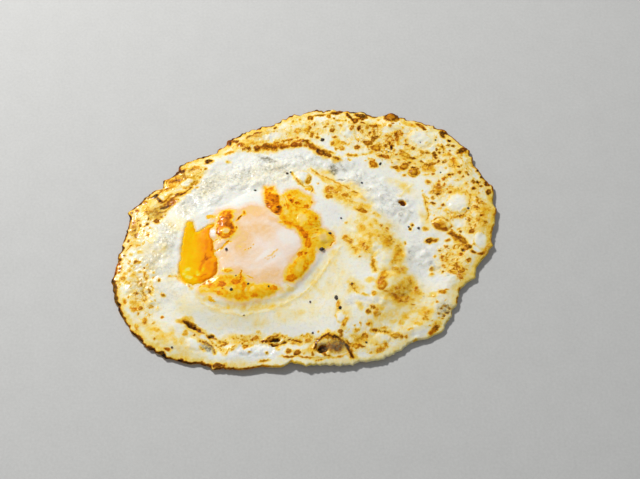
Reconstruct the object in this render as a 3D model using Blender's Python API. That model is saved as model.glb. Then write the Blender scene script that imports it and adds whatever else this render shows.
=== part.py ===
"""Fried egg lying flat: a thin, crisp-edged white, with the yolk set off-centre in the thick white.

Two solids are modelled, the white and the yolk. Each starts as a primitive that is moulded, point
by point, by the height and outline functions below. Places and sizes are in millimetres from the
pole of the rim's radii, on the surface that the egg lies on, and the meshes are written in metres.
+X runs along the egg's length, +Y across it and +Z up. At the end both solids are moved together,
so that the middle of the footprint is at the origin.
"""

import math

import bmesh
import bpy
from mathutils import Vector, noise

MILLIMETRE = 0.001

# Outlines: radii in millimetres at even angles, counter-clockwise from +X.
RIM_RADII = (
    (69.6, 72.4, 72.6, 72.2, 70.0, 65.4, 60.2, 57.0, 55.8)
    + (53.5, 51.2, 49.8, 50.6, 49.4, 51.6, 55.0, 58.0, 64.6)
    + (66.2, 69.4, 73.2, 73.2, 71.4, 66.2, 62.0, 57.2, 54.4)
    + (52.8, 53.6, 55.4, 57.2, 58.2, 62.2, 61.9, 62.1, 65.8)
)
THICK_WHITE_CENTRE = (-8.2, -6.1)
THICK_WHITE_RADII = (43.5, 35.5, 32.5, 37.0, 37.5, 41.0, 49.0, 46.5, 36.5, 35.0, 42.0, 49.5)
YOLK_CENTRE = (-19.7, -7.5)
YOLK_RADII = (27.0, 27.0, 26.0, 23.5, 20.0, 26.0, 27.5, 27.3, 25.0, 22.5, 23.2, 23.5)

# How far the rim's underside curls up off the surface, at even angles like the outlines.
RIM_LIFTS = (1.5, 1.1, 1.0, 1.0, 0.9, 0.8, 0.7, 0.7, 1.3, 2.6, 1.5, 1.3)
LIFT_STARTS_AT = 0.72  # of the way from the middle to the rim
LIFT_ENDS_AT = 1.05
LIFT_UNEVENNESS = 0.35

# Heights and thicknesses of the white.
WEB_THICKNESS = 1.8
THICK_WHITE_RISE = 2.7
THICK_WHITE_SLOPE = 13.0  # how wide the slope is at the edge of the thick white
RIM_THICKNESS = 0.7
RIM_BEAD_HEIGHT = 0.25
RIM_BEAD_WIDTH = 3.0
RIM_ROUNDING = 1.6
WAVE_HEIGHT = 0.55
WAVE_LENGTH = 13.0
WAVE_SLICE = 0.37  # which level slice of the solid noise the waves are read from

# The white swells into a collar round the yolk, with a shallow moat outside the collar.
COLLAR_HEIGHT = 0.6
COLLAR_WIDTH = 5.0
MOAT_DEPTH = 0.15
MOAT_DISTANCE = 7.5
MOAT_WIDTH = 3.2

# Blisters that stand up from the white: x, y, radius, height.
BLISTERS = (
    (57.0, 12.5, 6.0, 1.6),
    (50.5, 4.5, 4.8, 1.3),
    (33.0, 48.5, 5.0, 1.8),
    (20.5, 49.5, 4.6, 1.5),
    (10.5, -45.0, 7.0, 1.8),
    (-24.0, -44.5, 6.0, 1.0),
    (28.0, -22.0, 8.0, 1.2),
    (24.0, -6.0, 7.5, 1.0),
    (-31.0, 13.5, 7.0, 1.2),
)

# Folds where the white has wrinkled into a ridge: the points that it runs through, x and y.
FOLDS = (
    ((-62.0, -3.0), (-54.0, 13.0), (-42.0, 25.0), (-28.0, 35.0)),
    ((-14.0, 37.0), (1.0, 40.0), (10.0, 34.0), (17.0, 31.0)),
    ((-58.0, -22.0), (-50.0, -34.0), (-36.0, -41.0)),
)
FOLD_HEIGHT = 0.8
FOLD_WIDTH = 2.6

# The yolk: a flattened dome over a shallow bowl, with a lower lobe where it has run to the left.
YOLK_TOP = 7.7
YOLK_WIDEST_AT = 4.0
YOLK_BOTTOM = 1.3
YOLK_DOME_FULLNESS = 2.5  # 2 is an ellipse, more is flatter on top with a rounder shoulder
YOLK_LOBE_DROP = 0.42  # of the dome's height, lost at the end of the lobe
YOLK_LOBE_FROM_X = -26.0
YOLK_LOBE_TO_X = -42.0
YOLK_LUMP_HEIGHT = 0.4
YOLK_LUMP_LENGTH = 9.0
YOLK_SEGMENTS = 48
YOLK_RINGS = 20
FIT_GAP = 0.3  # between the yolk and the hollow that it fills

WHITE_COLUMNS = 54
WHITE_ROWS = 42

WHITE_COLOUR = (0.88, 0.84, 0.70, 1.0)
WHITE_ROUGHNESS = 0.35
YOLK_COLOUR = (0.90, 0.42, 0.03, 1.0)
YOLK_ROUGHNESS = 0.25


def clear_scene():
    for obj in list(bpy.data.objects):
        bpy.data.objects.remove(obj)


def smoothstep(low, high, value):
    share = min(1.0, max(0.0, (value - low) / (high - low)))
    return share * share * (3.0 - 2.0 * share)


def bump(distance, width):
    """1 at no distance, falling away smoothly over about the width."""
    return math.exp(-((distance / width) ** 2))


def round_the_ring(values, angle):
    """The smooth closed curve through evenly spaced values, read at an angle."""
    count = len(values)
    place = (angle / math.tau) % 1.0 * count
    index = int(place)
    t = place - index
    a, b, c, d = (values[(index + step) % count] for step in (-1, 0, 1, 2))
    straight = b + 0.5 * t * (c - a)
    bend = 2.0 * a - 5.0 * b + 4.0 * c - d + t * (3.0 * (b - c) + d - a)
    return straight + 0.5 * t * t * bend


def beyond(radii, centre, x, y):
    """How far a point lies outside an outline, measured from its centre; negative inside it."""
    dx, dy = x - centre[0], y - centre[1]
    return math.hypot(dx, dy) - round_the_ring(radii, math.atan2(dy, dx))


def wave(x, y, length):
    """Gentle unevenness from -1 to 1, with lumps about one length apart."""
    return noise.noise(Vector((x / length, y / length, WAVE_SLICE)))


def distance_to_line(x, y, points):
    """How far a point lies from a line of straight runs through the given points."""
    nearest = math.inf
    for (ax, ay), (bx, by) in zip(points, points[1:]):
        run_x, run_y = bx - ax, by - ay
        along = ((x - ax) * run_x + (y - ay) * run_y) / (run_x * run_x + run_y * run_y)
        along = min(1.0, max(0.0, along))
        nearest = min(nearest, math.hypot(x - ax - along * run_x, y - ay - along * run_y))
    return nearest


def underside(x, y, share):
    """Height of the white's underside: flat where it rests, curling up towards the rim."""
    angle = math.atan2(y, x)
    curl = smoothstep(LIFT_STARTS_AT, LIFT_ENDS_AT, share)
    ripple = 1.0 + LIFT_UNEVENNESS * wave(x, y, WAVE_LENGTH)
    return round_the_ring(RIM_LIFTS, angle) * curl * ripple


def thickness(x, y, share):
    """Depth of the white from its top down to its underside."""
    to_rim = (1.0 - share) * round_the_ring(RIM_RADII, math.atan2(y, x))
    depth = WEB_THICKNESS + WAVE_HEIGHT * wave(x, y, WAVE_LENGTH)
    depth += RIM_BEAD_HEIGHT * bump(to_rim - RIM_BEAD_WIDTH, RIM_BEAD_WIDTH)
    past_thick = beyond(THICK_WHITE_RADII, THICK_WHITE_CENTRE, x, y)
    half_slope = THICK_WHITE_SLOPE / 2
    depth += THICK_WHITE_RISE * smoothstep(half_slope, -half_slope, past_thick)
    past_yolk = beyond(YOLK_RADII, YOLK_CENTRE, x, y)
    depth += COLLAR_HEIGHT * bump(past_yolk, COLLAR_WIDTH)
    depth -= MOAT_DEPTH * bump(past_yolk - MOAT_DISTANCE, MOAT_WIDTH)
    for blister_x, blister_y, radius, height in BLISTERS:
        depth += height * smoothstep(radius, 0.0, math.hypot(x - blister_x, y - blister_y))
    for points in FOLDS:
        depth += FOLD_HEIGHT * bump(distance_to_line(x, y, points), FOLD_WIDTH)
    edge = smoothstep(0.0, RIM_ROUNDING, to_rim)
    return RIM_THICKNESS + (depth - RIM_THICKNESS) * edge


def disc_from_square(u, v):
    """Carries a point of the square from -1 to 1 to the disc: its share of the radius, and angle."""
    if u == 0.0 and v == 0.0:
        return 0.0, 0.0
    if abs(u) > abs(v):
        return abs(u), math.pi / 4 * v / u + (math.pi if u < 0 else 0.0)
    return abs(v), math.pi / 2 - math.pi / 4 * u / v + (math.pi if v < 0 else 0.0)


def mould_white():
    """A grid doubled into a slab, then rounded to the rim's outline and given its two surfaces."""
    slab = bmesh.new()
    bmesh.ops.create_grid(slab, x_segments=WHITE_COLUMNS, y_segments=WHITE_ROWS, size=1.0)
    doubled = bmesh.ops.extrude_face_region(slab, geom=slab.faces[:])
    upper = {item for item in doubled["geom"] if isinstance(item, bmesh.types.BMVert)}
    for vertex in slab.verts:
        share, angle = disc_from_square(vertex.co.x, vertex.co.y)
        radius = share * round_the_ring(RIM_RADII, angle)
        x, y = radius * math.cos(angle), radius * math.sin(angle)
        z = underside(x, y, share)
        if vertex in upper:
            z += thickness(x, y, share)
        vertex.co = Vector((x, y, z)) * MILLIMETRE
    bmesh.ops.recalc_face_normals(slab, faces=slab.faces)
    return slab


def dome_height(x, y):
    """Height of the yolk's dome above its widest level: lower over the lobe, and a little lumpy."""
    height = YOLK_TOP - YOLK_WIDEST_AT
    height *= 1.0 - YOLK_LOBE_DROP * smoothstep(YOLK_LOBE_FROM_X, YOLK_LOBE_TO_X, x)
    return height + YOLK_LUMP_HEIGHT * (wave(x, y, YOLK_LUMP_LENGTH) - 1.0)


def mould_yolk(grown=0.0):
    """A sphere pressed into the yolk's outline, dome and bowl, grown all round for a cutter."""
    ball = bmesh.new()
    bmesh.ops.create_uvsphere(
        ball, u_segments=YOLK_SEGMENTS, v_segments=YOLK_RINGS, radius=1.0
    )
    for vertex in ball.verts:
        angle = math.atan2(vertex.co.y, vertex.co.x)
        outwards = min(1.0, math.hypot(vertex.co.x, vertex.co.y))
        radius = outwards * (round_the_ring(YOLK_RADII, angle) + grown)
        x = YOLK_CENTRE[0] + radius * math.cos(angle)
        y = YOLK_CENTRE[1] + radius * math.sin(angle)
        if vertex.co.z >= 0.0:
            full = (1.0 - outwards**YOLK_DOME_FULLNESS) ** (1.0 / YOLK_DOME_FULLNESS)
            z = YOLK_WIDEST_AT + (dome_height(x, y) + grown) * full
        else:
            z = YOLK_WIDEST_AT + (YOLK_WIDEST_AT - YOLK_BOTTOM + grown) * vertex.co.z
        vertex.co = Vector((x, y, z)) * MILLIMETRE
    return ball


def add_object(name, shape, collection):
    mesh = bpy.data.meshes.new(name)
    shape.to_mesh(mesh)
    shape.free()
    mesh.shade_smooth()
    obj = bpy.data.objects.new(name, mesh)
    collection.objects.link(obj)
    return obj


def food_material(name, colour, roughness):
    material = bpy.data.materials.new(name)
    material.use_nodes = True
    shader = material.node_tree.nodes["Principled BSDF"]
    shader.inputs["Base Color"].default_value = colour
    shader.inputs["Roughness"].default_value = roughness
    shader.inputs["Metallic"].default_value = 0.0
    material.diffuse_color = colour
    return material


def new_collection(name):
    collection = bpy.data.collections.new(name)
    bpy.context.scene.collection.children.link(collection)
    return collection


def centre_on_footprint(white, others):
    """Moves every mesh alike, so that the white's footprint is centred on the origin."""
    for axis in (0, 1):
        places = [vertex.co[axis] for vertex in white.data.vertices]
        middle = (min(places) + max(places)) / 2
        for obj in (white, *others):
            for vertex in obj.data.vertices:
                vertex.co[axis] -= middle


def main():
    clear_scene()
    egg = new_collection("fried_egg")
    cutters = new_collection("cutters")

    white = add_object("egg_white", mould_white(), egg)
    white.data.materials.append(food_material("cooked_white", WHITE_COLOUR, WHITE_ROUGHNESS))

    yolk = add_object("yolk", mould_yolk(), egg)
    yolk.data.materials.append(food_material("soft_yolk", YOLK_COLOUR, YOLK_ROUGHNESS))

    hollow = add_object("yolk_hollow_cutter", mould_yolk(grown=FIT_GAP), cutters)
    hollow.hide_render = True
    hollow.display_type = "WIRE"
    cut = white.modifiers.new("yolk_hollow", "BOOLEAN")
    cut.operation = "DIFFERENCE"
    cut.solver = "EXACT"
    cut.object = hollow

    centre_on_footprint(white, (yolk, hollow))


main()
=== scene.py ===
"""Looks of a fried egg that lies on a pale floor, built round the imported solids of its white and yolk.

Places, lengths and heights in the tables and arrays are in millimetres. Table places are counted from
the pole of the egg's outline; ORIGIN is where that pole lies in the frame, and is added when a mesh is
written. Levels and masks run from 0 to 1. Meshes are written in metres.
"""
import math

import bmesh
import bpy
import numpy as np
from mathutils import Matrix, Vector, noise
from mathutils.bvhtree import BVHTree


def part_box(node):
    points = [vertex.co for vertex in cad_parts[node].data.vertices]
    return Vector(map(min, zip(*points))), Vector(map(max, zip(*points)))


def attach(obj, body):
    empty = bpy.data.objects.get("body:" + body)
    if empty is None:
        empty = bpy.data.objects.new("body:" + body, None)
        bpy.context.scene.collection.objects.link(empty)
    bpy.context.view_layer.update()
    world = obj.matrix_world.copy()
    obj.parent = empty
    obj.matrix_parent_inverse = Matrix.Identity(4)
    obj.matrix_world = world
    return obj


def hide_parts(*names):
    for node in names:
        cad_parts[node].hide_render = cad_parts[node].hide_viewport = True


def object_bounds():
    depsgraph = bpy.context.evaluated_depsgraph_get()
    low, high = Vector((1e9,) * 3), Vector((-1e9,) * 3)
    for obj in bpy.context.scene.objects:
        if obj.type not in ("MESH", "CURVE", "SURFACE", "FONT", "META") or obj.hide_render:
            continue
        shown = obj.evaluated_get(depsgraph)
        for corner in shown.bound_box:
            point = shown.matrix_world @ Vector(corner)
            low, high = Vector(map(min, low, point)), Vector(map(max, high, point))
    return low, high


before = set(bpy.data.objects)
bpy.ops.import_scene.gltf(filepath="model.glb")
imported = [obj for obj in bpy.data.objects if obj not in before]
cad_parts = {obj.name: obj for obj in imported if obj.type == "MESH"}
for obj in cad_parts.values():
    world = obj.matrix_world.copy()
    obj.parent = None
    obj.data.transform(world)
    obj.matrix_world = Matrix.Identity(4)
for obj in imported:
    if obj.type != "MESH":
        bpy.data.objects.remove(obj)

CAD_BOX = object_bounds()
MM = 0.001
YOLK_PLACE = np.array((-19.9, -6.83))  # table place of the middle of the yolk's box
YOLK_LOW, YOLK_HIGH = (np.array(corner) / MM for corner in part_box("yolk"))
ORIGIN = ((YOLK_LOW + YOLK_HIGH) / 2)[:2] - YOLK_PLACE

# ---------------------------------------------------------------- meshes
SHEET_COLUMNS, SHEET_ROWS, SHEET_SHARE = 336, 264, 4  # the underside has one cell for so many, each way
YOLK_COLUMNS, YOLK_ROWS, YOLK_SHARE = 152, 128, 4
RASTER_STEP = 0.5  # distance between the places where the solids' heights are read
RASTER_BLUR_PASSES = 40
FILM_THICKNESS = 0.3  # how far the film of white stands over the solids' yolk
DOME_DROP = 0.6  # how much lower the middle of the yolk lies than in the solids
APRON_HEIGHT, APRON_WIDTH = -0.2, 3.4  # how the white dips round the foot of the yolk
LEAK_DIP = 1.1  # how far the white drops away where the film is torn
LEAK_SWELL = 0.12  # how far the runny yolk swells out of the tear
EDGE_THICKNESS = 0.25  # of the white at its very rim
EDGE_ROUNDING = 1.0  # how far in from the rim the upper edge is rounded
RIM_THINNING, RIM_SLOPE = 0.5, 7.0  # share of the depth that is lost at the rim, and how far in that starts
LEAST_THICKNESS = 0.25
YOLK_SUNK = 0.5  # how far the yolk lies below the solids' upper surface where film covers it
YOLK_RIM_DEPTH = 0.3  # how thick the yolk is at its outline
YOLK_MARGIN = 0.6  # how far the yolk reaches past the solid's outline

# ---------------------------------------------------------------- rim
# Where the rim stands out from, or is bitten in from, the solid's smooth outline: x, y, width, how far.
RIM_DETAILS = (
    (-28.9, 40.2, 1.1, 1.5), (-64.8, 9.6, 1.4, 1.6), (-56.4, 17.0, 1.3, 1.3), (-54.3, 19.7, 1.4, -2.8),
    (-51.8, 22.9, 1.5, 1.5), (-44.0, 31.0, 3.0, 1.7), (-35.0, 34.6, 2.4, -1.0), (-67.4, -9.0, 1.1, 1.2),
    (-66.0, -5.5, 2.0, -0.6), (-69.8, -19.0, 1.6, 1.0), (2.0, 51.6, 1.6, 0.4), (-2.0, 50.6, 2.0, -0.8),
    (13.0, 54.0, 5.0, 0.3), (19.0, 50.6, 1.3, -1.6), (21.6, 52.0, 1.8, 0.6), (27.9, 50.6, 2.4, -1.8),
    (33.3, 52.0, 2.2, 1.7), (40.5, 49.6, 2.2, -1.0), (46.4, 46.8, 1.8, -1.8), (53.2, 45.0, 1.6, 0.9),
    (55.4, 40.6, 1.5, -1.4), (61.6, 36.4, 1.4, 0.9), (64.6, 30.2, 2.5, -1.6), (70.6, 20.4, 2.2, 1.5),
    (71.0, 13.5, 1.2, -0.4), (69.0, -5.6, 2.4, 1.4), (63.0, -12.0, 2.2, -1.3), (61.6, -17.0, 1.5, 0.7),
    (57.6, -23.0, 2.0, -0.8), (55.4, -28.5, 1.4, 0.6), (52.3, -33.5, 1.6, 0.2), (48.6, -38.5, 1.8, 0.8),
    (41.0, -43.4, 3.0, -1.1), (37.2, -44.8, 1.4, 0.4), (31.0, -48.6, 1.5, 0.3), (19.0, -52.0, 3.0, -0.4),
    (14.2, -51.6, 2.0, -1.3), (5.5, -51.4, 2.6, 0.3), (-4.0, -51.2, 3.4, -1.0), (-15.0, -53.4, 3.6, -0.8),
    (-25.0, -53.8, 3.0, -0.6), (-37.6, -51.8, 2.4, -1.2), (-34.0, -52.6, 1.2, -0.5),
    (-63.2, -34.6, 1.0, 0.4), (-44.0, -49.6, 2.0, -0.3), (-60.2, 13.3, 1.8, -1.6),
    (-40.4, 31.0, 1.0, -0.6), (-12.6, 48.8, 1.8, -0.7), (30.4, 51.2, 1.0, -0.5), (50.0, 46.4, 1.2, -0.5),
    (58.4, 38.6, 1.2, -0.6), (66.8, 26.6, 1.4, -0.5), (-46.6, 28.6, 1.2, 0.5), (-32.0, 37.2, 1.2, 0.4),
    (-68.4, -26.0, 1.2, 0.5), (-20.4, 43.4, 1.2, 0.5),
)
RIM_TRIM = 0.25
RIM_FROM = 0.9  # of the way out, where rim details start to be felt
RIM_JAGS = ((7.0, 0.35), (3.0, 0.38), (1.3, 0.32))  # length and depth of the rim's unevenness
RIM_CURL_HEIGHT, RIM_CURL_WIDTH = 0.25, 1.8
# How dark the rim's edge is fried, and how far in it is stained, at even angles counter-clockwise from +X.
RIM_TOAST = (
    0.6, 0.78, 0.86, 0.9, 0.88, 0.86, 0.9, 0.92, 0.92, 0.9, 0.92, 0.92, 0.86, 0.56, 0.34, 0.28, 0.34,
    0.38,
)
RIM_STAIN = (
    0.48, 0.44, 0.36, 0.36, 0.34, 0.4, 0.42, 0.42, 0.42, 0.34, 0.4, 0.43, 0.38, 0.22, 0.26, 0.3, 0.26,
    0.38,
)
RIM_TOAST_WIDTH = 0.66
RIM_STAIN_WIDTH = 6.0
EDGE_TOAST_SHARE = 0.6  # how much of the rim's browning goes down its edge

# ---------------------------------------------------------------- zones: x, y, long, wide, tilt, level
# How far each part of the white is fried on the whole.
TONES = (
    (-18, -30.6, 19, 2.6, 2, 0.3), (3, -24, 2.8, 8, -40, 0.25), (9.4, -13, 2.8, 8, -30, 0.25),
    (-36, -27, 4, 3.4, -30, 0.32), (-5.4, -24, 4, 2.2, 20, 0.34), (38, 38, 33, 12, -24, 0.25),
    (59, 16, 12, 22, 0, 0.26), (66, 8, 5, 12, 0, 0.38), (56, -12, 8, 9, 0, 0.29),
    (36, -33, 18, 11, 20, 0.27), (24, -3, 12, 11, -15, 0.36), (33, -14, 6, 9, 0, 0.42),
    (35, -24, 9, 7, 0, 0.47), (15, 17, 9, 6, -15, 0.4), (22, 9, 7, 6, -20, 0.36),
    (4, 46, 26, 6, 10, 0.27), (-20, 40.5, 11, 4, 26, 0.36), (-46, 24, 13, 4.5, 38, 0.44),
    (-56, 10, 6, 7, 30, 0.38), (-62.5, 1, 3.4, 8, 0, 0.36), (-60, -26, 8, 12, 25, 0.2),
    (-50, -42, 18, 5, -30, 0.29), (-20, -43, 14, 3, 0, 0.3), (6, -46, 14, 4.5, 0, 0.27),
    (24, -44, 11, 5.5, 10, 0.27), (-10, -33, 30, 7, 4, 0.18), (10, -20, 8, 15, -30, 0.17),
    (-18, -30, 22, 4, 3, 0.28), (5, -19, 3, 11, -35, 0.24), (-49, -20, 7, 6, 0, 0.12),
    (18, -23, 5, 4, 0, 0.34), (14, -32, 4, 7, 0, 0.26), (-55, -8, 8, 12, 0, 0.16),
    (-48, 4, 8, 10, 20, 0.14), (-42, -30, 9, 8, 0, 0.14), (-35, 20, 10, 6, 35, 0.1),
    (45, 7, 2, 6, 12, 0.27), (37, 21, 7, 3, -40, 0.22), (-12, 24, 18, 6, 8, 0.1),
    (8, 25, 7, 2.5, -30, 0.28),
)
# Full of small fried bubbles.
LACE = (
    (36, 39, 34, 11, -24, 1.0), (58, 16, 12, 22, 0, 1.0), (54, -12, 8, 9, 0, 0.9),
    (4, 46, 26, 6, 10, 0.8), (-20, 40, 10, 4, 26, 0.6), (-47, 23, 14, 5, 40, 0.8),
    (-60, 4, 6, 11, 0, 0.9), (-60, -22, 8, 15, 20, 1.0), (22, -43, 22, 6, 8, 0.6),
    (46, -31, 9, 10, -35, 0.5), (-22, -43, 14, 3, 0, 0.5), (25, -3, 12, 11, 0, 0.35),
    (13, 17, 8, 6, 0, 0.5), (36, -25, 9, 7, 0, 0.25), (-50, -40, 14, 5, -30, 0.2),
    (30, -32, 12, 8, 0, 0.2),
)
# Thick white that has set in lumps.
LUMPS = (
    (-38, 16, 14, 8, 42, 1.0), (-18, 25, 20, 8, 12, 1.0), (6, 31, 14, 4, -5, 0.9),
    (28, 17, 17, 7, -38, 1.0), (43, -8, 7, 11, 0, 0.5), (-52, -8, 7, 15, 0, 0.8),
    (-16, -47, 11, 2.6, 0, 0.7), (22, -29, 8, 4, 0, 0.6), (40, -40, 6, 3, 20, 0.4),
    (-50, -26, 9, 8, 0, 0.5),
)
# Smooth, silky white round the lower side of the yolk.
SMOOTH = (
    (-22, -34, 24, 5, 0, 1.0), (-4, -32, 14, 7, 12, 1.0), (8, -20, 7, 15, -32, 1.0),
    (15, -9, 5, 9, -30, 0.8), (-44, -28, 8, 6, 0, 0.6), (2, -39, 10, 4, 0, 0.8), (13, 8, 3, 8, 35, 0.6),
)
# Cream and golden stains of frying.
STAINS = (
    (31, -4, 4, 5, 0, 0.54), (34.6, -9, 3.2, 8, -4, 0.55), (38.2, -20.6, 4.6, 5.2, 0, 0.5),
    (37, -26.4, 5, 2.6, -15, 0.56), (10, 17.5, 4, 4.4, -10, 0.54), (21.5, 10.5, 3, 2.4, -15, 0.52),
    (26.5, 4, 2, 3.6, 30, 0.46), (44, -32, 4.4, 3.6, 0, 0.54), (56.5, 30.5, 3.0, 4.2, 0, 0.5),
    (67, 10, 3, 5, 0, 0.49), (52, 37.6, 1.7, 1.8, 0, 0.44), (54, 33.9, 2.8, 1.1, 0, 0.56),
    (44.5, 36, 2.6, 1.0, -28, 0.54), (40, 48, 5, 1.6, -20, 0.54), (27, 47, 4, 1.4, 0, 0.6),
    (-49.5, 21, 3.2, 3.0, 30, 0.5), (-42, 27.8, 4.4, 1.8, 35, 0.56), (-58, 9.5, 2.6, 3.0, 0, 0.54),
    (-63, 2, 1.7, 6, 0, 0.54), (-60.5, -29.5, 4.6, 2.6, -55, 0.44), (-23.5, -43.6, 3.4, 2.2, 0, 0.42),
    (-17, -42.4, 2.8, 1.6, 15, 0.5), (20.5, -43.5, 4.2, 3.6, 0, 0.5), (27.5, -46.5, 4.2, 1.8, 22, 0.52),
    (-2, 45, 4.4, 2.2, 10, 0.5), (-22, 38.5, 6, 1.6, 16, 0.54), (-54, 6, 3.2, 2.4, 40, 0.54),
    (-50.5, 13, 4, 2.4, 45, 0.58), (47, 28.5, 3.6, 3, 0, 0.54), (49.8, 19, 3, 4.0, 0, 0.56),
    (38.5, 33, 4.4, 2.4, -20, 0.5), (28.4, 38, 3.6, 2.4, -15, 0.54), (12.5, 39.3, 3.4, 3.0, -30, 0.5),
    (57, -15, 4.4, 3.6, 0, 0.54), (58, -3.4, 4.4, 3.2, -40, 0.54), (67.4, -4.6, 1.4, 4, -15, 0.54),
    (47.6, -37, 3.4, 2.2, 48, 0.58), (18, -23, 3.4, 2.6, 0, 0.46), (12.6, -31, 1.2, 4, 5, 0.46),
    (26.2, -32.8, 1.9, 4.2, -8, 0.57), (33, -41.4, 3.2, 2.0, 0, 0.52), (57, 7.2, 4.4, 1.0, 0, 0.58),
    (8, -50, 8, 0.8, 2, 0.46), (22, -5, 2.4, 3.6, 0, 0.5), (25, -14, 1.2, 3, 8, 0.5),
    (14, -39, 2, 1.4, 0, 0.4), (45.6, 14, 1.0, 4, 12, 0.46), (-4, 49, 5, 1.4, 16, 0.4),
    (13.4, 49.5, 3, 0.9, 0, 0.58), (1.4, 22.5, 1.4, 2.8, -15, 0.6), (8, 22.4, 4, 1.4, -30, 0.44),
    (11, -46.2, 5.4, 3.0, -6, 0.68), (51, 4.3, 3.2, 2.0, -18, 0.62), (7, -46.8, 2.4, 2.0, 0, 0.88),
    (-38, -42.6, 5, 1.4, -30, 0.42), (-44, -36, 3, 1.2, -10, 0.52), (2, -43.6, 2.4, 1.6, 0, 0.5),
    (-66, -18.6, 2.4, 1.8, 0, 0.54), (28.0, -20.4, 2.0, 4.6, -12, 0.66), (36.4, -33.6, 2.4, 2, 0, 0.48),
    (28, -31, 2.4, 2, 0, 0.42), (-54, 9, 3, 2, 0, 0.56), (-12, 37.8, 10, 1.8, 3, 0.74),
    (5.4, 36, 7, 1.7, -33, 0.74), (-60, -8, 2, 1.4, 0, 0.4), (-62, -17, 2, 2.4, 0, 0.46),
    (24, -20, 2.6, 1.8, 0, 0.44), (20, -30, 1.8, 3.4, 30, 0.42), (32, -36, 3, 1.4, 20, 0.5),
    (41, -36.6, 2.4, 1.6, 0, 0.48), (47, -25, 2.4, 2, 0, 0.46), (24, -37, 2, 2.6, 0, 0.46),
    (18, -42, 3, 1.4, -20, 0.46), (30, 0.6, 3, 2, -30, 0.52), (27, 7.6, 3, 1.6, -45, 0.48),
    (18, 12.6, 3, 1.4, -20, 0.48), (22, 14.6, 3.6, 1.4, -35, 0.42), (36.4, -15.4, 2.2, 2.6, 0, 0.54),
    (-40.6, -37.2, 3.4, 1.5, -32, 0.74), (-30, -43.8, 2.4, 1.2, -20, 0.56),
    (-12, -43.4, 3.4, 1.6, 0, 0.62),
)
# Places that stayed pale, although frying reached all round them.
PALE = (
    (57.3, 12.9, 4.2, 4.0, 0, 1.0), (44, 41.3, 4.6, 3.4, -25, 0.9), (65, -2.6, 2.2, 3.6, 20, 0.8),
    (57.6, 4.6, 2.4, 1.6, 0, 0.7), (29.2, -11.8, 2.8, 3.4, 0, 0.8), (-13, 42.3, 4.6, 1.5, 18, 0.9),
    (16, 44.6, 3, 2.8, 0, 0.7), (-44, 21.6, 2.2, 1.6, 40, 0.8), (13.2, -34.6, 1.3, 2.0, 0, 0.9),
    (41.8, -40.4, 4.4, 1.4, 14, 0.9), (28, -42.3, 2.8, 2.0, 0, 0.7), (57, 21.6, 4.4, 1.2, 5, 0.5),
    (-65, -23, 1.6, 2.2, 0, 0.6), (31.5, 45, 2.4, 1.6, 0, 0.7), (-38, -44.6, 3, 1.8, -40, 0.8),
    (21.5, -48.8, 3.4, 0.9, 0, 0.8), (64.5, 25.5, 1.4, 3.4, 35, 0.8), (53, 27.6, 1.8, 3, 0, 0.6),
    (50, -18, 6, 1.8, 0, 0.8), (6, 50.2, 3.6, 1.2, 0, 0.7), (20, -27, 5, 2.2, 0, 0.7),
    (30, -37, 2.6, 1.6, 0, 0.5), (-17, -48.4, 9, 2.0, 0, 1.0), (48, 36.6, 2.0, 1.6, 0, 0.7),
    (63.5, 8, 1.8, 1.8, 0, 0.5), (17.4, 1.5, 2, 3, 40, 0.5), (26.6, -7.2, 2.2, 1.8, 0, 0.7),
    (8, 42.4, 2, 1.0, 0, 0.6), (-1, 23.4, 2.6, 2.4, 0, 0.5), (44, -27.5, 2.2, 2.4, 0, 0.5),
    (51.3, 9.2, 1.6, 2, 0, 0.4), (-1.0, -46, 3.4, 1.0, 0, 0.8), (32.8, -20.6, 2.6, 2.2, 0, 0.35),
)
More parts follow.
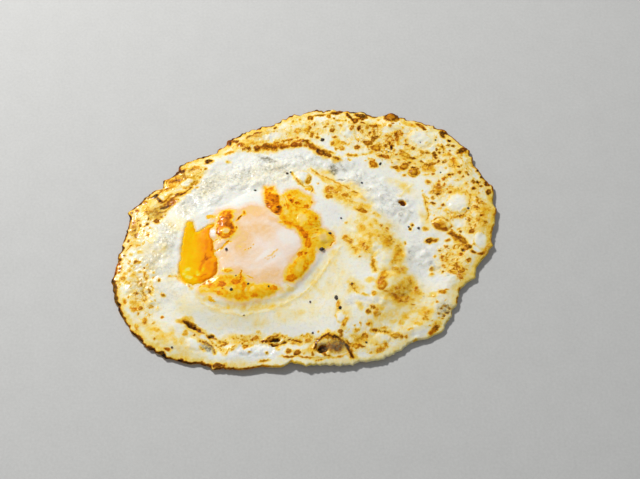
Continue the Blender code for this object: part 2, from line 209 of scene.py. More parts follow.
# Thin, glassy white that shows grey; also painted shade on the lit upper-left white, and a painted shadow by a
# hollow.
GLASSY_AND_SHADED = (
    (-14, 31.4, 4.6, 1.7, -20, 0.95), (-17, 33.4, 2.4, 1.2, -20, 0.5), (10.8, 27.8, 2.4, 2.8, 0, 0.95),
    (14.8, 28, 3.0, 0.9, -48, 0.6), (13.7, 23.2, 2.4, 0.6, 5, 0.8), (24.4, 18.9, 1.6, 1.1, 0, 0.6),
    (36.0, 8, 1.1, 1.5, 20, 0.6), (35.4, 5.4, 0.7, 1.2, 0, 0.5), (-50, 1.2, 1.0, 1.8, 20, 0.45),
    (-40.6, 11.2, 0.8, 1.4, 0, 0.55), (47.5, -14, 3.2, 1.4, 15, 0.5), (38.7, -7.9, 0.8, 0.9, 0, 0.85),
    (38.6, -11.1, 0.8, 0.5, 0, 0.8), (50.6, -30.8, 4.4, 3.2, 42, 0.66), (-34, -46, 3.2, 1.8, -38, 1.0),
    (9.6, -21, 2.4, 1.6, 0, 0.25), (-46, 7.6, 1.6, 1.0, 40, 0.35), (11.4, -45.8, 5.4, 3, -5, 0.8),
    (34, 14, 1.0, 2.4, -30, 0.3), (33, 3, 4, 2, -30, 0.3), (20, 21.6, 3.4, 1.2, -40, 0.35),
    (29, 14, 2, 1.2, 0, 0.3), (42.3, -12.4, 0.8, 0.6, 0, 0.6), (46.2, -12.6, 0.8, 0.6, 0, 0.6),
    (-43.5, 7.4, 0.8, 0.6, 0, 0.5), (-57, -24, 2.6, 2.6, 0, 0.35), (-22, 14, 3, 1.2, 20, 0.15),
    (-33, 22, 3, 1.2, 30, 0.15), (-61, -13, 1.6, 1.2, 0, 0.3), (43.3, -25.6, 0.7, 0.6, 0, 0.6),
    (52.8, -17, 0.6, 0.5, 0, 0.8), (41, -6, 0.8, 1.2, 0, 0.3), (-36, 19, 10, 5, 40, 0.46),
    (-24, 24, 10, 3.6, 15, 0.44), (-50, -2, 4, 9, 0, 0.44), (-56, -12, 5, 7, 0, 0.42),
    (-44, 11, 4, 6, -30, 0.36), (-12, 27, 8, 2.4, 5, 0.4), (42, -9, 3.4, 6, 0, 0.16),
    # The patch at (38.4, 14.4) is a painted shadow beside the hollow at (36.7, 13.5).
    (-48, -26, 5, 4, 0, 0.24), (-55.4, 15.4, 1.6, 2.0, 0, 0.44), (38.4, 14.4, 1.5, 0.8, -20, 0.5),
    (-60, -14, 3, 6, 0, 0.3), (-62.6, -2, 2, 5, 0, 0.34), (-16, 43, 10, 2.6, 20, 0.4),
    (-54, 10, 3, 2, 40, 0.36), (-41, -36.6, 2.4, 1.0, -32, 0.34), (-60, -22, 5, 7, 0, 0.44),
    (-55, 9, 5, 4, 40, 0.4), (-44, 26, 6, 2, 35, 0.38), (-63, 3, 3, 7, 0, 0.36),
)

# ---------------------------------------------------------------- spots: x, y, long, wide, tilt, level
RIM_SPOTS = (
    (33.2, 51.4, 2.5, 2.4, 5, 0.88), (21.5, 51.6, 2.2, 1.1, -15, 0.92), (17.2, 51.4, 2.4, 0.8, -52, 0.84),
    (19.6, 49.3, 1.2, 1.2, 0, 0.84), (12.2, 53.3, 2.8, 0.7, 8, 0.88), (6.0, 52.2, 2.6, 0.5, 5, 0.82),
    (2.1, 51.0, 1.1, 1.1, 0, 0.84), (44.3, 47.3, 2.2, 0.8, -35, 0.78), (46.0, 45.6, 0.8, 0.6, 0, 0.86),
    (52.8, 43.8, 0.9, 2.0, 15, 0.88), (53.8, 44.6, 0.5, 1.0, 0, 0.94), (55.2, 40.4, 0.9, 0.5, -30, 0.94),
    (56.6, 38.2, 1.0, 0.6, 0, 0.8), (60.2, 36.3, 2.0, 1.1, 20, 0.92), (59.0, 35.0, 1.4, 0.8, 0, 0.76),
    (65.3, 27.0, 0.5, 0.5, 0, 0.92), (67.0, 24.4, 0.8, 0.9, 0, 0.88), (69.0, 22.4, 1.3, 1.9, 10, 0.84),
    (66.4, 20.6, 0.8, 0.5, 0, 0.9), (65.0, 22.0, 0.6, 0.6, 0, 0.84), (69.2, 18.0, 1.1, 1.4, 0, 0.82),
    (-28.9, 39.9, 1.0, 1.5, 25, 1.0), (-26.2, 40.2, 1.6, 0.7, 0, 0.8), (-21.0, 42.3, 2.0, 0.5, 25, 0.82),
    (-18.0, 44.0, 1.8, 0.6, 20, 0.76), (-11.3, 46.4, 0.9, 0.6, 20, 0.88),
    (-36.4, 31.0, 1.5, 1.0, 15, 0.9), (-46.0, 27.0, 1.4, 0.8, 35, 0.8), (-55.9, 16.2, 1.7, 0.9, 30, 0.93),
    (-54.2, 14.2, 1.6, 0.7, -55, 0.92), (-64.4, 9.4, 0.6, 0.6, 0, 0.84), (-66.6, -8.9, 1.0, 0.4, 5, 0.97),
    (-68.6, -22.0, 0.8, 2.6, 8, 0.88), (-69.2, -19.2, 0.8, 0.8, 0, 0.92),
    (-14.0, -51.0, 1.8, 0.5, 5, 0.74), (-30.0, -52.6, 2.6, 0.8, -5, 0.88),
    (-48.4, -46.4, 1.4, 0.6, -25, 0.8), (46.8, -38.6, 2.6, 0.9, 50, 0.8),
    (67.3, -6.2, 0.9, 2.0, -25, 0.62), (65.0, -8.0, 1.8, 0.6, 8, 0.78), (62.3, -7.8, 1.1, 0.7, -20, 0.93),
    (-64.8, -2.6, 0.5, 0.5, 0, 0.92), (-5.0, -49.6, 2.4, 0.5, 0, 0.82), (1.0, -49.9, 3.0, 0.4, -8, 0.74),
    (5.5, -50.9, 1.6, 0.4, 5, 0.66), (55.6, -26.6, 0.5, 1.6, -15, 0.7),
    (56.4, -22.8, 0.5, 1.4, -20, 0.66),
)
FIELD_SPOTS = (
    (36.0, 43.6, 1.7, 1.5, 30, 0.65), (35.4, 41.4, 0.8, 1.4, 0, 0.71), (35.7, 39.0, 0.6, 1.0, 0, 0.58),
    (32.6, 42.0, 1.2, 0.6, 0, 0.58), (27.0, 42.0, 1.6, 1.0, 0, 0.73), (26.6, 44.0, 0.8, 1.2, 0, 0.67),
    (26.2, 47.0, 2.0, 0.7, -10, 0.69), (24.0, 46.2, 0.9, 0.8, 0, 0.69), (24.2, 39.6, 1.8, 1.1, -5, 0.74),
    (27.2, 37.3, 2.2, 1.4, -15, 0.71), (20.0, 37.6, 1.1, 0.9, 0, 0.74), (33.4, 38.3, 0.9, 0.7, 0, 0.8),
    (30.2, 33.6, 2.4, 0.8, -12, 0.73), (18.2, 34.0, 2.3, 0.7, 3, 0.71), (17.2, 32.0, 0.8, 0.4, 0, 0.6),
    (23.0, 34.6, 1.2, 0.4, 0, 0.56), (18.2, 46.0, 0.9, 1.1, 0, 0.71), (21.0, 45.9, 0.8, 1.2, -10, 0.88),
    (22.2, 48.3, 0.9, 0.5, 0, 0.8), (26.2, 30.2, 1.7, 1.4, -40, 0.76), (38.3, 34.4, 2.4, 1.2, -30, 0.65),
    (41.0, 33.0, 1.6, 0.6, -15, 0.78), (35.8, 32.3, 0.8, 0.4, 0, 0.78), (37.8, 29.4, 2.1, 1.4, 35, 0.74),
    (34.5, 28.9, 1.4, 0.8, -10, 0.78), (40.0, 31.0, 0.6, 0.5, 0, 0.74), (41.3, 29.0, 0.9, 0.5, 0, 0.92),
    (39.5, 38.2, 0.7, 0.6, 0, 0.58), (41.3, 37.2, 1.1, 0.6, -20, 0.71), (44.5, 31.3, 1.0, 0.5, -40, 0.73),
    (46.2, 29.0, 1.8, 1.6, 0, 0.61), (48.4, 30.3, 1.6, 0.7, 20, 0.71), (50.6, 31.1, 0.8, 0.5, 10, 0.76),
    (49.8, 32.8, 0.7, 0.5, 0, 0.9), (48.5, 25.8, 0.6, 0.7, 0, 0.76), (46.0, 25.7, 1.1, 0.3, 0, 0.63),
    (37.8, 25.7, 0.7, 0.4, 20, 0.73), (58.1, 28.4, 0.6, 0.5, -30, 0.88), (56.2, 25.4, 0.6, 0.5, 0, 0.82),
    (54.8, 25.4, 0.6, 0.4, 0, 0.67), (61.0, 26.0, 0.7, 0.9, 0, 0.65), (59.7, 24.2, 0.5, 0.5, 0, 0.8),
    (57.8, 23.0, 0.5, 0.4, 0, 0.71), (53.6, 28.4, 0.5, 0.4, 0, 0.65), (50.4, 20.2, 0.9, 1.9, 0, 0.63),
    (48.8, 18.0, 1.8, 1.0, 0, 0.61), (50.4, 17.1, 0.9, 0.6, 0, 0.78), (48.2, 15.5, 0.6, 0.8, 0, 0.63),
    (53.6, 19.4, 0.5, 0.5, 0, 0.69), (56.4, 18.2, 0.6, 0.5, 0, 0.65), (63.6, 19.2, 0.9, 0.8, 0, 0.93),
    (48.0, 13.3, 0.8, 0.5, 0, 0.91), (63.7, 11.5, 0.9, 0.6, 0, 0.74), (61.2, 6.0, 0.6, 0.9, 0, 0.71),
    (65.8, 7.5, 0.7, 0.5, 0, 0.78), (67.3, 4.7, 0.9, 0.8, 0, 0.67), (66.5, 12.8, 2.4, 0.5, -8, 0.61),
    (67.6, 10.4, 1.6, 0.4, 8, 0.58), (63.4, 3.2, 0.6, 0.5, 0, 0.67), (62.0, 1.0, 1.3, 1.0, 0, 0.76),
    (57.8, 1.0, 0.4, 0.5, 0, 0.9), (45.0, 2.4, 1.3, 0.8, 0, 0.65), (39.3, 2.2, 0.6, 0.5, 0, 0.94),
    (40.0, 4.0, 0.4, 0.7, 0, 0.88), (55.4, -0.2, 2.2, 1.0, -28, 0.82), (58.4, -2.4, 2.3, 1.2, -45, 0.78),
    (46.2, -2.6, 1.5, 1.0, 10, 0.9), (48.5, -2.4, 1.0, 0.6, 20, 0.71), (53.2, -2.5, 0.9, 0.7, 0, 0.69),
    (60.5, -5.3, 1.3, 0.9, -45, 0.82), (58.3, -6.9, 0.9, 0.5, -50, 0.94), (57.4, -8.5, 0.8, 0.6, 0, 0.67),
    (50.8, -10.0, 0.6, 1.4, 10, 0.74), (52.5, -10.0, 0.4, 0.4, 0, 0.74),
    (51.3, -13.2, 0.9, 0.6, -60, 0.71), (60.4, -11.0, 0.8, 1.1, 10, 0.71),
    (55.8, -12.8, 0.7, 1.2, 20, 0.69), (54.0, -15.7, 1.6, 0.4, -25, 0.71),
    (57.1, -17.8, 1.3, 1.0, -20, 0.67), (57.6, -15.6, 1.3, 0.5, 0, 0.65),
    (50.7, -15.5, 0.4, 0.4, 0, 0.74), (50.4, -23.9, 1.6, 0.8, -10, 0.67),
    (52.0, -23.0, 0.6, 0.4, 0, 0.67), (44.0, -34.2, 0.5, 1.3, 35, 0.73), (37.3, -4.0, 0.4, 0.6, 0, 0.92),
    (28.4, -22.2, 1.7, 2.2, 0, 0.71), (29.4, -18.4, 1.0, 1.8, -30, 0.58),
    (36.0, -27.3, 1.6, 1.3, 0, 0.65), (39.2, -29.0, 1.0, 0.5, 0, 0.69),
    (40.5, -22.4, 0.5, 0.9, -30, 0.63), (31.0, -2.5, 1.6, 1.3, 0, 0.63), (31.0, -5.4, 1.3, 1.0, 0, 0.56),
    (34.0, -7.2, 1.0, 2.2, -10, 0.56), (33.4, -11.6, 0.8, 2.0, 0, 0.58), (33.3, -15.2, 1.5, 0.9, 0, 0.58),
    (21.6, 9.0, 2.2, 0.9, -15, 0.73), (21.3, 11.2, 0.9, 1.3, 0, 0.58), (9.3, 14.6, 1.5, 0.9, 0, 0.65),
    (9.6, 18.6, 1.0, 1.4, 30, 0.6), (12.0, 17.4, 0.8, 1.2, 0, 0.58), (15.2, 15.9, 1.5, 0.8, 10, 0.71),
    (16.0, -3.2, 2.2, 1.2, -35, 0.61), (16.9, -4.3, 1.1, 0.7, -20, 0.65), (24.0, -3.0, 0.6, 0.8, 0, 0.54),
    (22.5, -6.4, 1.0, 0.5, -55, 0.61), (17.5, -21.9, 0.9, 0.6, 0, 0.69),
    (18.0, -23.4, 1.3, 0.6, -35, 0.63), (19.2, -24.8, 1.2, 0.4, -35, 0.58),
    (22.0, -26.0, 1.6, 0.5, -20, 0.54), (12.4, -29.6, 0.8, 1.5, 0, 0.56),
    (26.5, -33.5, 1.0, 1.5, 0, 0.58), (15.0, -36.3, 0.8, 1.8, -30, 0.58),
    (14.3, -38.0, 0.8, 0.6, 0, 0.65), (19.0, -39.8, 1.1, 0.8, 30, 0.61), (22.0, -41.5, 1.1, 1.1, 0, 0.71),
    (18.8, -45.5, 1.8, 1.1, 0, 0.65), (21.1, -45.8, 1.0, 0.6, 0, 0.76), (27.4, -46.8, 2.1, 0.8, 30, 0.63),
    (29.6, -45.2, 0.9, 0.6, 0, 0.58), (32.8, -41.4, 1.8, 1.2, 0, 0.63), (35.0, -41.8, 0.8, 0.8, 0, 0.69),
    (35.2, -36.1, 1.3, 0.8, 20, 0.54), (38.2, -38.8, 1.0, 0.4, 15, 0.61),
    (28.6, -38.4, 1.5, 0.5, 0, 0.54), (1.8, -43.7, 1.3, 0.9, 0, 0.63), (-2.3, -48.3, 1.1, 1.1, 0, 0.82),
    (-5.2, -47.5, 1.1, 0.8, 0, 0.76), (-3.4, -44.5, 1.2, 0.5, 0, 0.63), (3.3, -48.5, 0.5, 1.0, 0, 0.71),
    (-14.0, -43.6, 1.6, 0.5, -5, 0.88), (-17.5, -42.3, 1.8, 0.8, 22, 0.63),
    (-16.0, -40.1, 0.7, 0.6, 0, 0.58), (-20.7, -45.7, 0.9, 0.8, 0, 0.69),
    (-25.2, -46.9, 0.9, 0.4, 20, 0.6), (-13.0, -48.0, 0.5, 0.5, 0, 0.78),
    (-19.0, -47.8, 0.5, 0.3, 0, 0.74), (-9.0, -46.7, 0.6, 0.3, 0, 0.61), (-33.2, -41.7, 1.2, 0.8, 0, 0.9),
    (-28.5, -45.0, 1.5, 0.5, 10, 0.76), (-38.7, -41.3, 0.5, 0.5, 0, 0.9),
    (-42.2, -40.4, 0.9, 1.3, -10, 0.6), (-66.0, -18.4, 1.4, 1.0, 0, 0.63),
    (-64.0, -20.2, 1.2, 0.6, 0, 0.54), (-64.7, -27.4, 0.8, 1.3, 20, 0.6),
    (-58.8, -30.6, 1.1, 0.9, 40, 0.67), (-61.0, -31.2, 1.2, 0.8, 0, 0.54),
    (-62.0, -28.2, 0.8, 0.6, 0, 0.54), (-57.0, -35.3, 1.1, 1.0, 0, 0.56),
    (-52.5, -39.0, 1.3, 0.9, -20, 0.54), (-60.0, -37.5, 0.8, 1.3, 20, 0.58),
    (-53.3, -42.4, 0.5, 0.4, 0, 0.74), (-56.8, -18.4, 0.4, 0.9, 0, 0.71),
    (-55.7, -24.0, 0.5, 1.5, 25, 0.73), (-62.7, -13.4, 0.5, 0.4, 0, 0.58),
    (-61.8, -0.8, 1.2, 1.0, 0, 0.71), (-62.6, 1.6, 0.4, 0.5, 0, 0.9), (-63.4, 4.2, 0.7, 2.2, 0, 0.65),
    (-57.5, -1.0, 0.7, 1.0, 0, 0.65), (-59.2, 0.8, 0.4, 0.4, 0, 0.74), (-54.6, 5.0, 1.2, 1.0, 20, 0.8),
    (-52.5, 7.0, 1.3, 0.5, 30, 0.69), (-58.0, 9.2, 1.2, 1.4, 0, 0.56), (-49.8, 12.8, 2.4, 1.1, 55, 0.78),
    (-47.6, 16.4, 1.2, 0.7, 25, 0.82), (-52.3, 10.8, 1.5, 0.6, 15, 0.88),
    (-50.0, 20.2, 1.7, 0.9, 0, 0.58), (-41.0, 21.5, 1.8, 0.9, 32, 0.61), (-40.2, 19.4, 0.7, 0.5, 0, 0.58),
    (-41.2, 28.0, 1.8, 1.1, 20, 0.58), (-37.3, 27.3, 0.7, 0.4, 30, 0.8),
    (-28.6, 35.0, 2.1, 0.7, 18, 0.67), (-29.0, 30.8, 0.9, 0.5, 0, 0.58),
    (-21.0, 35.8, 1.1, 0.5, 10, 0.61), (-24.4, 38.6, 1.6, 1.0, 0, 0.71), (-14.6, 37.6, 2.0, 1.5, 0, 0.76),
    (-2.6, 38.4, 2.0, 0.8, 8, 0.82), (0.2, 40.4, 1.2, 0.8, 0, 0.8), (-2.6, 44.8, 1.4, 1.2, 20, 0.58),
    (0.9, 45.0, 1.1, 1.4, 0, 0.58), (3.0, 43.4, 0.7, 0.9, 0, 0.69), (4.7, 42.0, 0.7, 0.4, 0, 0.74),
    (11.6, 42.0, 1.0, 0.5, 0, 0.74), (10.6, 39.2, 1.2, 0.8, 60, 0.71), (12.8, 40.2, 1.1, 0.8, 0, 0.56),
    (14.0, 37.2, 1.3, 0.9, 0, 0.67), (12.0, 36.8, 0.7, 0.6, 0, 0.65), (15.0, 39.4, 1.0, 0.8, 0, 0.56),
    (11.3, 50.4, 0.5, 0.4, 0, 0.78), (1.7, 22.2, 0.9, 2.2, -15, 0.63), (4.6, 25.8, 1.3, 0.5, -35, 0.71),
    (49.4, 3.4, 1.9, 1.2, -40, 0.74), (52.0, 2.2, 1.6, 0.7, 0, 0.73), (49.5, -30.5, 0.5, 0.4, 0, 0.92),
    (51.5, -32.0, 0.5, 0.4, 0, 0.92), (50.5, -33.2, 0.4, 0.4, 0, 0.88), (52.6, -30.2, 0.4, 0.5, 0, 0.9),
    (48.6, -32.6, 0.5, 0.3, 0, 0.88), (51.0, -29.4, 0.6, 0.3, 20, 0.86), (53.4, -31.6, 0.3, 0.4, 0, 0.86),
    (49.8, -34.4, 0.6, 0.3, 30, 0.8), (-60.4, -12.0, 0.9, 0.7, 0, 0.56), (-63.6, -15.2, 0.7, 0.9, 0, 0.6),
    (-59.0, -21.0, 0.6, 1.1, 10, 0.64), (-57.4, -27.6, 0.5, 0.9, 30, 0.7),
    (-60.8, -24.6, 1.1, 0.8, 0, 0.58), (-55.0, -30.0, 0.8, 0.6, 0, 0.56),
    (-63.4, -8.6, 0.6, 0.7, 0, 0.62), (-61.0, -5.0, 0.8, 0.6, 0, 0.6), (-18.0, 37.0, 1.6, 1.1, 10, 0.82),
    (-8.0, 37.4, 1.9, 0.8, 8, 0.84), (-4.2, 38.6, 1.5, 1.1, 20, 0.86), (2.8, 37.8, 1.7, 1.2, -50, 0.82),
    (6.0, 35.2, 2.0, 1.1, -38, 0.88), (9.0, 33.9, 1.7, 0.9, -24, 0.86), (12.4, 32.4, 1.6, 0.5, -24, 0.78),
    (-11.6, 37.2, 1.1, 0.7, 0, 0.86), (-22.4, 36.8, 1.4, 0.6, 20, 0.7), (41.3, 26.8, 1.9, 1.3, 0, 0.72),
    (-6.0, 40.8, 1.6, 0.6, 12, 0.7), (-10.6, 39.4, 1.2, 0.6, 10, 0.68), (0.6, 38.2, 0.9, 0.7, 0, 0.8),
)

# Bubbles that the frying has blown up: x, y, long, wide, tilt, height, level of the fried ring round it.
DOMES = (
    (57.3, 12.9, 4.4, 4.2, 0, 0.35, 0.4), (51.0, 4.3, 3.5, 2.4, -18, 0.8, 0.7),
    (33.0, -21.5, 6.0, 4.8, 0, 0.9, 0.42), (29.3, -11.8, 4.0, 4.2, 0, 0.4, 0.42),
    (41.3, 26.8, 2.1, 1.7, 0, 0.3, 0.84), (41.3, 26.8, 1.1, 0.9, 0, 0.2, 0.76),
    (-0.8, 23.2, 3.4, 3.0, 0, 0.8, 0.4), (56.1, -5.4, 1.0, 0.9, 0, 0.2, 0.82),
    (33.2, 51.2, 2.7, 2.5, 0, 1.1, 0.9), (21.5, 51.4, 2.4, 1.4, -12, 0.6, 0.9),
    (10.8, -46.0, 6.2, 3.6, -5, -0.9, 0.8), (36.6, 7.2, 2.4, 2.6, 0, 0.4, 0.1),
    (13.2, -34.6, 1.7, 2.4, 0, 0.3, 0.46), (44.0, 41.3, 4.6, 3.2, -25, 0.4, 0.36),
    (46.8, 38.2, 1.0, 1.3, 0, 0.2, 0.44), (-24.0, 20.5, 4.0, 3.0, 20, 0.4, 0.0),
    (-34.0, 14.0, 4.0, 3.0, 40, 0.5, 0.0), (-10.0, 29.5, 5.0, 2.6, 10, 0.5, 0.0),
    (20.0, 24.0, 4.4, 2.4, -35, 0.4, 0.0), (31.0, 15.0, 3.6, 2.6, -40, 0.4, 0.0),
    (44.0, -10.0, 3.0, 3.6, 0, 0.4, 0.0), (-16.0, -47.0, 4.4, 2.2, 0, 0.7, 0.0),
    (65.2, -2.8, 2.6, 3.8, 15, 0.25, 0.46), (28.0, -42.2, 3.0, 2.0, 0, 0.3, 0.4),
    (-43.5, 22.0, 2.6, 2.0, 40, 0.4, 0.36), (63.6, 8.0, 1.8, 1.8, 0, 0.3, 0.5),
    (16.5, 44.6, 3.0, 2.6, 0, 0.3, 0.34), (-39.0, -44.4, 3.0, 2.2, -40, 0.6, 0.0),
    (-20.6, -47.4, 3.0, 1.6, 10, 0.5, 0.0),
)

# Hollows that go deep into the white, painted near-black inside as shade over their browning: x, y, long,
# wide, tilt, depth.
HOLES = (
    (36.7, 13.5, 1.9, 1.1, -25, 1.4), (-10.2, -43.1, 2.5, 0.9, 5, 1.0), (-10.4, -45.1, 1.2, 0.7, 0, 1.4),
    (6.8, -46.8, 2.3, 1.7, 15, 1.2), (-40.0, -37.8, 3.4, 0.8, -32, 1.2),
    (-33.2, -41.7, 1.2, 0.7, -20, 0.6), (58.3, -6.9, 0.9, 0.5, -50, 0.5), (39.3, 2.2, 0.6, 0.5, 0, 0.4),
)

# Creases: the points that each runs through, its width, its level and its height (below 0, a groove).
CREASES = (
    (((-18, 37.4), (-14, 37.2), (-8.6, 37.3), (-5.6, 38.2), (-2.6, 38.4), (0.2, 40.3)), 0.6, 0.66, 0.3),
    (((0.2, 40.3), (1.9, 38.8), (3.2, 37), (5.4, 35.3), (8.4, 34), (13, 32)), 0.6, 0.8, 0.4),
    (
        ((-4.6, 24.8), (-3.2, 22.2), (-1.6, 20), (0, 19), (2.2, 18.9), (3.3, 17.8), (3.1, 16.4)), 0.22,
        0.76, -0.25,
    ),
    (((2, 27.5), (4.6, 25.7), (7.2, 24.2), (10, 23), (13.4, 21), (17, 19)), 0.4, 0.66, 0.3),
    (((15.2, 15.8), (16.6, 17.2), (18, 17.8), (20, 17)), 0.4, 0.68, 0.3),
    (((-54.4, 8.2), (-51.6, 9.4), (-49, 12.4), (-47.4, 14.4)), 0.6, 0.66, 0.3),
    (((-53.4, 12.6), (-51.6, 14), (-50, 16.2)), 0.4, 0.82, 0.2),
    (((-59, 15.4), (-56.4, 16), (-54.4, 14.4)), 0.35, 0.74, 0.3),
    (((-19, 35.6), (-15, 36.2), (-11, 36.4)), 0.6, 0.66, 0.0),
    (((-26, 38.4), (-21.6, 38.8), (-16, 39.4)), 0.5, 0.6, 0.1),
    (((-6, 39.6), (-2, 40.4), (1.6, 40.6)), 0.6, 0.62, 0.1),
    (((4, 38.4), (7, 36.2), (11, 34.6)), 0.5, 0.66, 0.1),
    (((-46.2, 16.2), (-44.8, 17), (-43.8, 18), (-42.4, 19.3)), 0.35, 0.99, -0.4),
    (((-55.4, 10.4), (-52.4, 11.4), (-50, 14.2), (-47.4, 16.4), (-46, 16.6)), 0.8, 0.7, 0.3),
    (((-52, 21.6), (-51.4, 24), (-49.4, 25.4)), 0.22, 0.82, 0.1),
    # The slit at the lower left: painted shade in its groove, over browning.
    (((-42.8, -36), (-40, -37.6), (-37.2, -39.4)), 0.75, 0.88, -0.3),
    (((-37, -39.6), (-33.5, -41.4), (-31, -43), (-27, -44.4)), 0.25, 0.76, -0.2),
    (((24.8, -39.4), (27.5, -39.8), (31, -40.2)), 0.35, 0.8, -0.2),
    (((29.4, -24.8), (31.5, -25.4), (34.5, -25.8), (38, -26)), 0.4, 0.64, -0.2),
    (((27.1, -23), (27.0, -20.6), (28.0, -18.4), (29.6, -16.6)), 0.6, 0.66, -0.1),
    (((25.2, -10.8), (25.3, -13.5), (26.3, -16.4)), 0.5, 0.66, -0.2),
    (((9.4, -0.4), (10.7, -2), (11, -4), (9.4, -6)), 0.3, 0.88, -0.3),
    (((-49, -18.4), (-46, -19), (-44, -20.4), (-42, -22), (-40.3, -24)), 0.18, 0.7, -0.15),
    (((4.1, -47), (4.6, -44.4), (7.4, -42.4), (9, -41.4)), 0.45, 0.86, 0.3),
    (((9.4, -42.2), (12.8, -42.9), (15, -45), (16.8, -48), (17.4, -49.4)), 0.55, 0.9, 0.4),
    (((-5.4, -42.9), (-3, -43.4), (-0.8, -44.4)), 0.35, 0.88, -0.2),
    (((44.6, 17), (45.6, 13), (46.4, 8.6), (45.4, 6)), 0.22, 0.66, -0.2),
    (((45.2, 16.4), (46.8, 15)), 0.18, 0.7, -0.1), (((44.8, 14.4), (46.6, 13)), 0.18, 0.7, -0.1),
    (((36.2, 16.4), (38.2, 19), (40.4, 20.8)), 0.35, 0.36, 0.3),
    (((-67.2, -8.8), (-67.5, -12), (-67.4, -15.4)), 0.25, 0.9, 0.1),
    (((-65.4, -7), (-64.6, -5.4), (-63.6, -4.6)), 0.2, 0.74, 0.1),
    (
        ((-38.5, -26.5), (-36, -29.8), (-30.5, -32.8), (-22, -34.2), (-14, -33), (-6, -29.6)), 0.45, 0.32,
        0.25,
    ),
    (((-6, -29.6), (0, -25.6), (4, -21), (8, -15), (12, -9), (13.8, -6)), 0.35, 0.34, 0.25),
    (((-7.2, -20.8), (-5.8, -22.8), (-3.6, -23.8)), 0.2, 0.44, 0.15),
    (((2, -25), (6, -19), (9.6, -13)), 0.2, 0.34, 0.12),
    (((5, -33), (9, -27), (12.6, -19)), 0.25, 0.24, 0.1),
    (((61.4, 12.6), (62.4, 16.4), (60.6, 18)), 0.25, 0.62, 0.1),
    (((58.6, 33.6), (61, 30), (63.6, 26)), 0.25, 0.54, 0.15),
    (((-33, -43.4), (-30.6, -45.6), (-28.4, -47.4)), 0.25, 0.7, -0.2),
    (((-24, -41.8), (-21, -43.6), (-18.6, -43.4)), 0.22, 0.68, -0.1),
    (((-12.8, -42.2), (-9, -41.4), (-6.6, -42.4)), 0.3, 0.8, -0.2),
    (((-12, -44.4), (-9, -45.4), (-6.4, -44)), 0.35, 0.84, -0.3),
    (((-0.4, -42), (2.4, -42.4), (5, -43.6)), 0.3, 0.76, -0.1),
    (((-58.6, -16), (-57, -20), (-58.4, -24), (-56.4, -27.6)), 0.2, 0.66, -0.1),
    (((-60.4, -18), (-59.6, -22)), 0.16, 0.62, -0.1), (((-55.4, -20), (-54.6, -24.6)), 0.16, 0.6, -0.1),
    (((-37.2, -43.4), (-34.4, -44), (-32, -46), (-31.2, -48.2)), 0.26, 0.84, -0.1),
    (((-36.8, -45.4), (-35.4, -47)), 0.2, 0.76, -0.1),
    (((-27.6, -48.6), (-26.4, -46.4), (-24.2, -45.2)), 0.22, 0.7, 0.1),
    (((-23, -43.4), (-20.4, -45.4), (-18.4, -44.6)), 0.2, 0.72, -0.1),
)

# ---------------------------------------------------------------- over the yolk
# Closed outlines, as the points that each runs through.
FILM_OUTLINE = (
    (-20, 10.4), (-24.5, 8), (-28, 9), (-31.4, 8.4), (-33.4, 4), (-34.8, 1), (-34, -4), (-33, -9),
    (-31.4, -12), (-31.2, -16), (-32, -20), (-28, -21), (-23, -21.4), (-21, -20.4), (-18.6, -22.2),
    (-13, -22.4), (-8.6, -22.4), (-6.8, -18.8), (-4.6, -14), (-2.4, -10.6), (-0.2, -7.4), (-0.8, -3.6),
    (-3, -0.4), (-6.4, 0.6), (-9.6, 3.6), (-12.4, 6), (-14.4, 9.4),
)
LEAK_OUTLINE = (
    (-42.8, 3.4), (-41.2, 3.3), (-40.9, 0.6), (-39.8, -1.2), (-38.4, -0.8), (-37, 0.4), (-35, 1.9),
    (-33.2, 2.3), (-34.5, 0.4), (-34.9, -1.6), (-34.4, -3.8), (-33.3, -5.4), (-33.6, -8), (-32.9, -10.2),
    (-31.7, -12.4), (-31.6, -15.5), (-32.4, -18.4), (-34.6, -20.2), (-37, -21.4), (-40, -21.9),
    (-43, -21), (-45, -19.2), (-45.1, -15), (-44.4, -10), (-44.2, -5), (-43.6, 0),
)
LOWER_OUTLINE = (
    (-37.8, -23.6), (-35, -21.4), (-31, -19.4), (-26, -19.6), (-22, -19.2), (-20, -22.0), (-17, -22.9),
    (-13, -22.4), (-9.4, -23.2), (-8.4, -24.4), (-11, -26.4), (-15, -28), (-18, -28.2), (-21, -29.4),
    (-26, -28.8), (-30, -27), (-33.6, -25.6), (-37, -25.4),
)
BAND_OUTLINE = (
    (-9.6, 9), (-7, 9.6), (-4, 8.6), (-1, 9), (2.6, 8.4), (5.2, 6.6), (6, 3.4), (5.6, 0.4), (6.6, -1.6),
    (5, -5), (4.2, -8), (4.2, -9.6), (3, -13.4), (0.8, -17.2), (-1.4, -20.4), (-4, -21.8), (-6.6, -21),
    (-7.2, -19.4), (-5.2, -15.4), (-3, -12.6), (-1.8, -10), (-0.2, -7.4), (-0.8, -3.6), (-3, -0.4),
    (-6.4, 0.6), (-9, 3.2),
)
NODULE_OUTLINE = (
    (-30.6, 7.4), (-28, 7.8), (-26.4, 7), (-26.2, 5), (-27, 3.4), (-26, 1.4), (-25.4, -1.4),
    (-26.2, -3.4), (-28.4, -4.2), (-30.8, -3), (-32.2, 0), (-32, 3), (-31.4, 6),
)
CLUSTER_OUTLINE = (
    (-14.8, 18.4), (-11.4, 18.6), (-10.4, 16), (-9, 14), (-8.6, 10), (-8.4, 7), (-10.4, 6), (-12.6, 8),
    (-14.2, 11), (-15, 14.6),
)
VEINED_OUTLINE = (
    (-8.6, 14), (-6.4, 17), (-2.4, 17.6), (0, 15.4), (2.6, 14.6), (3.4, 12), (1.6, 9), (-2, 8.4),
    (-5.4, 9), (-8, 10.4),
)
HALO_OUTLINE = ((4, 1.6), (7.4, 0.8), (10.4, -1), (11, -4), (9, -7), (5, -8.4), (4, -5))
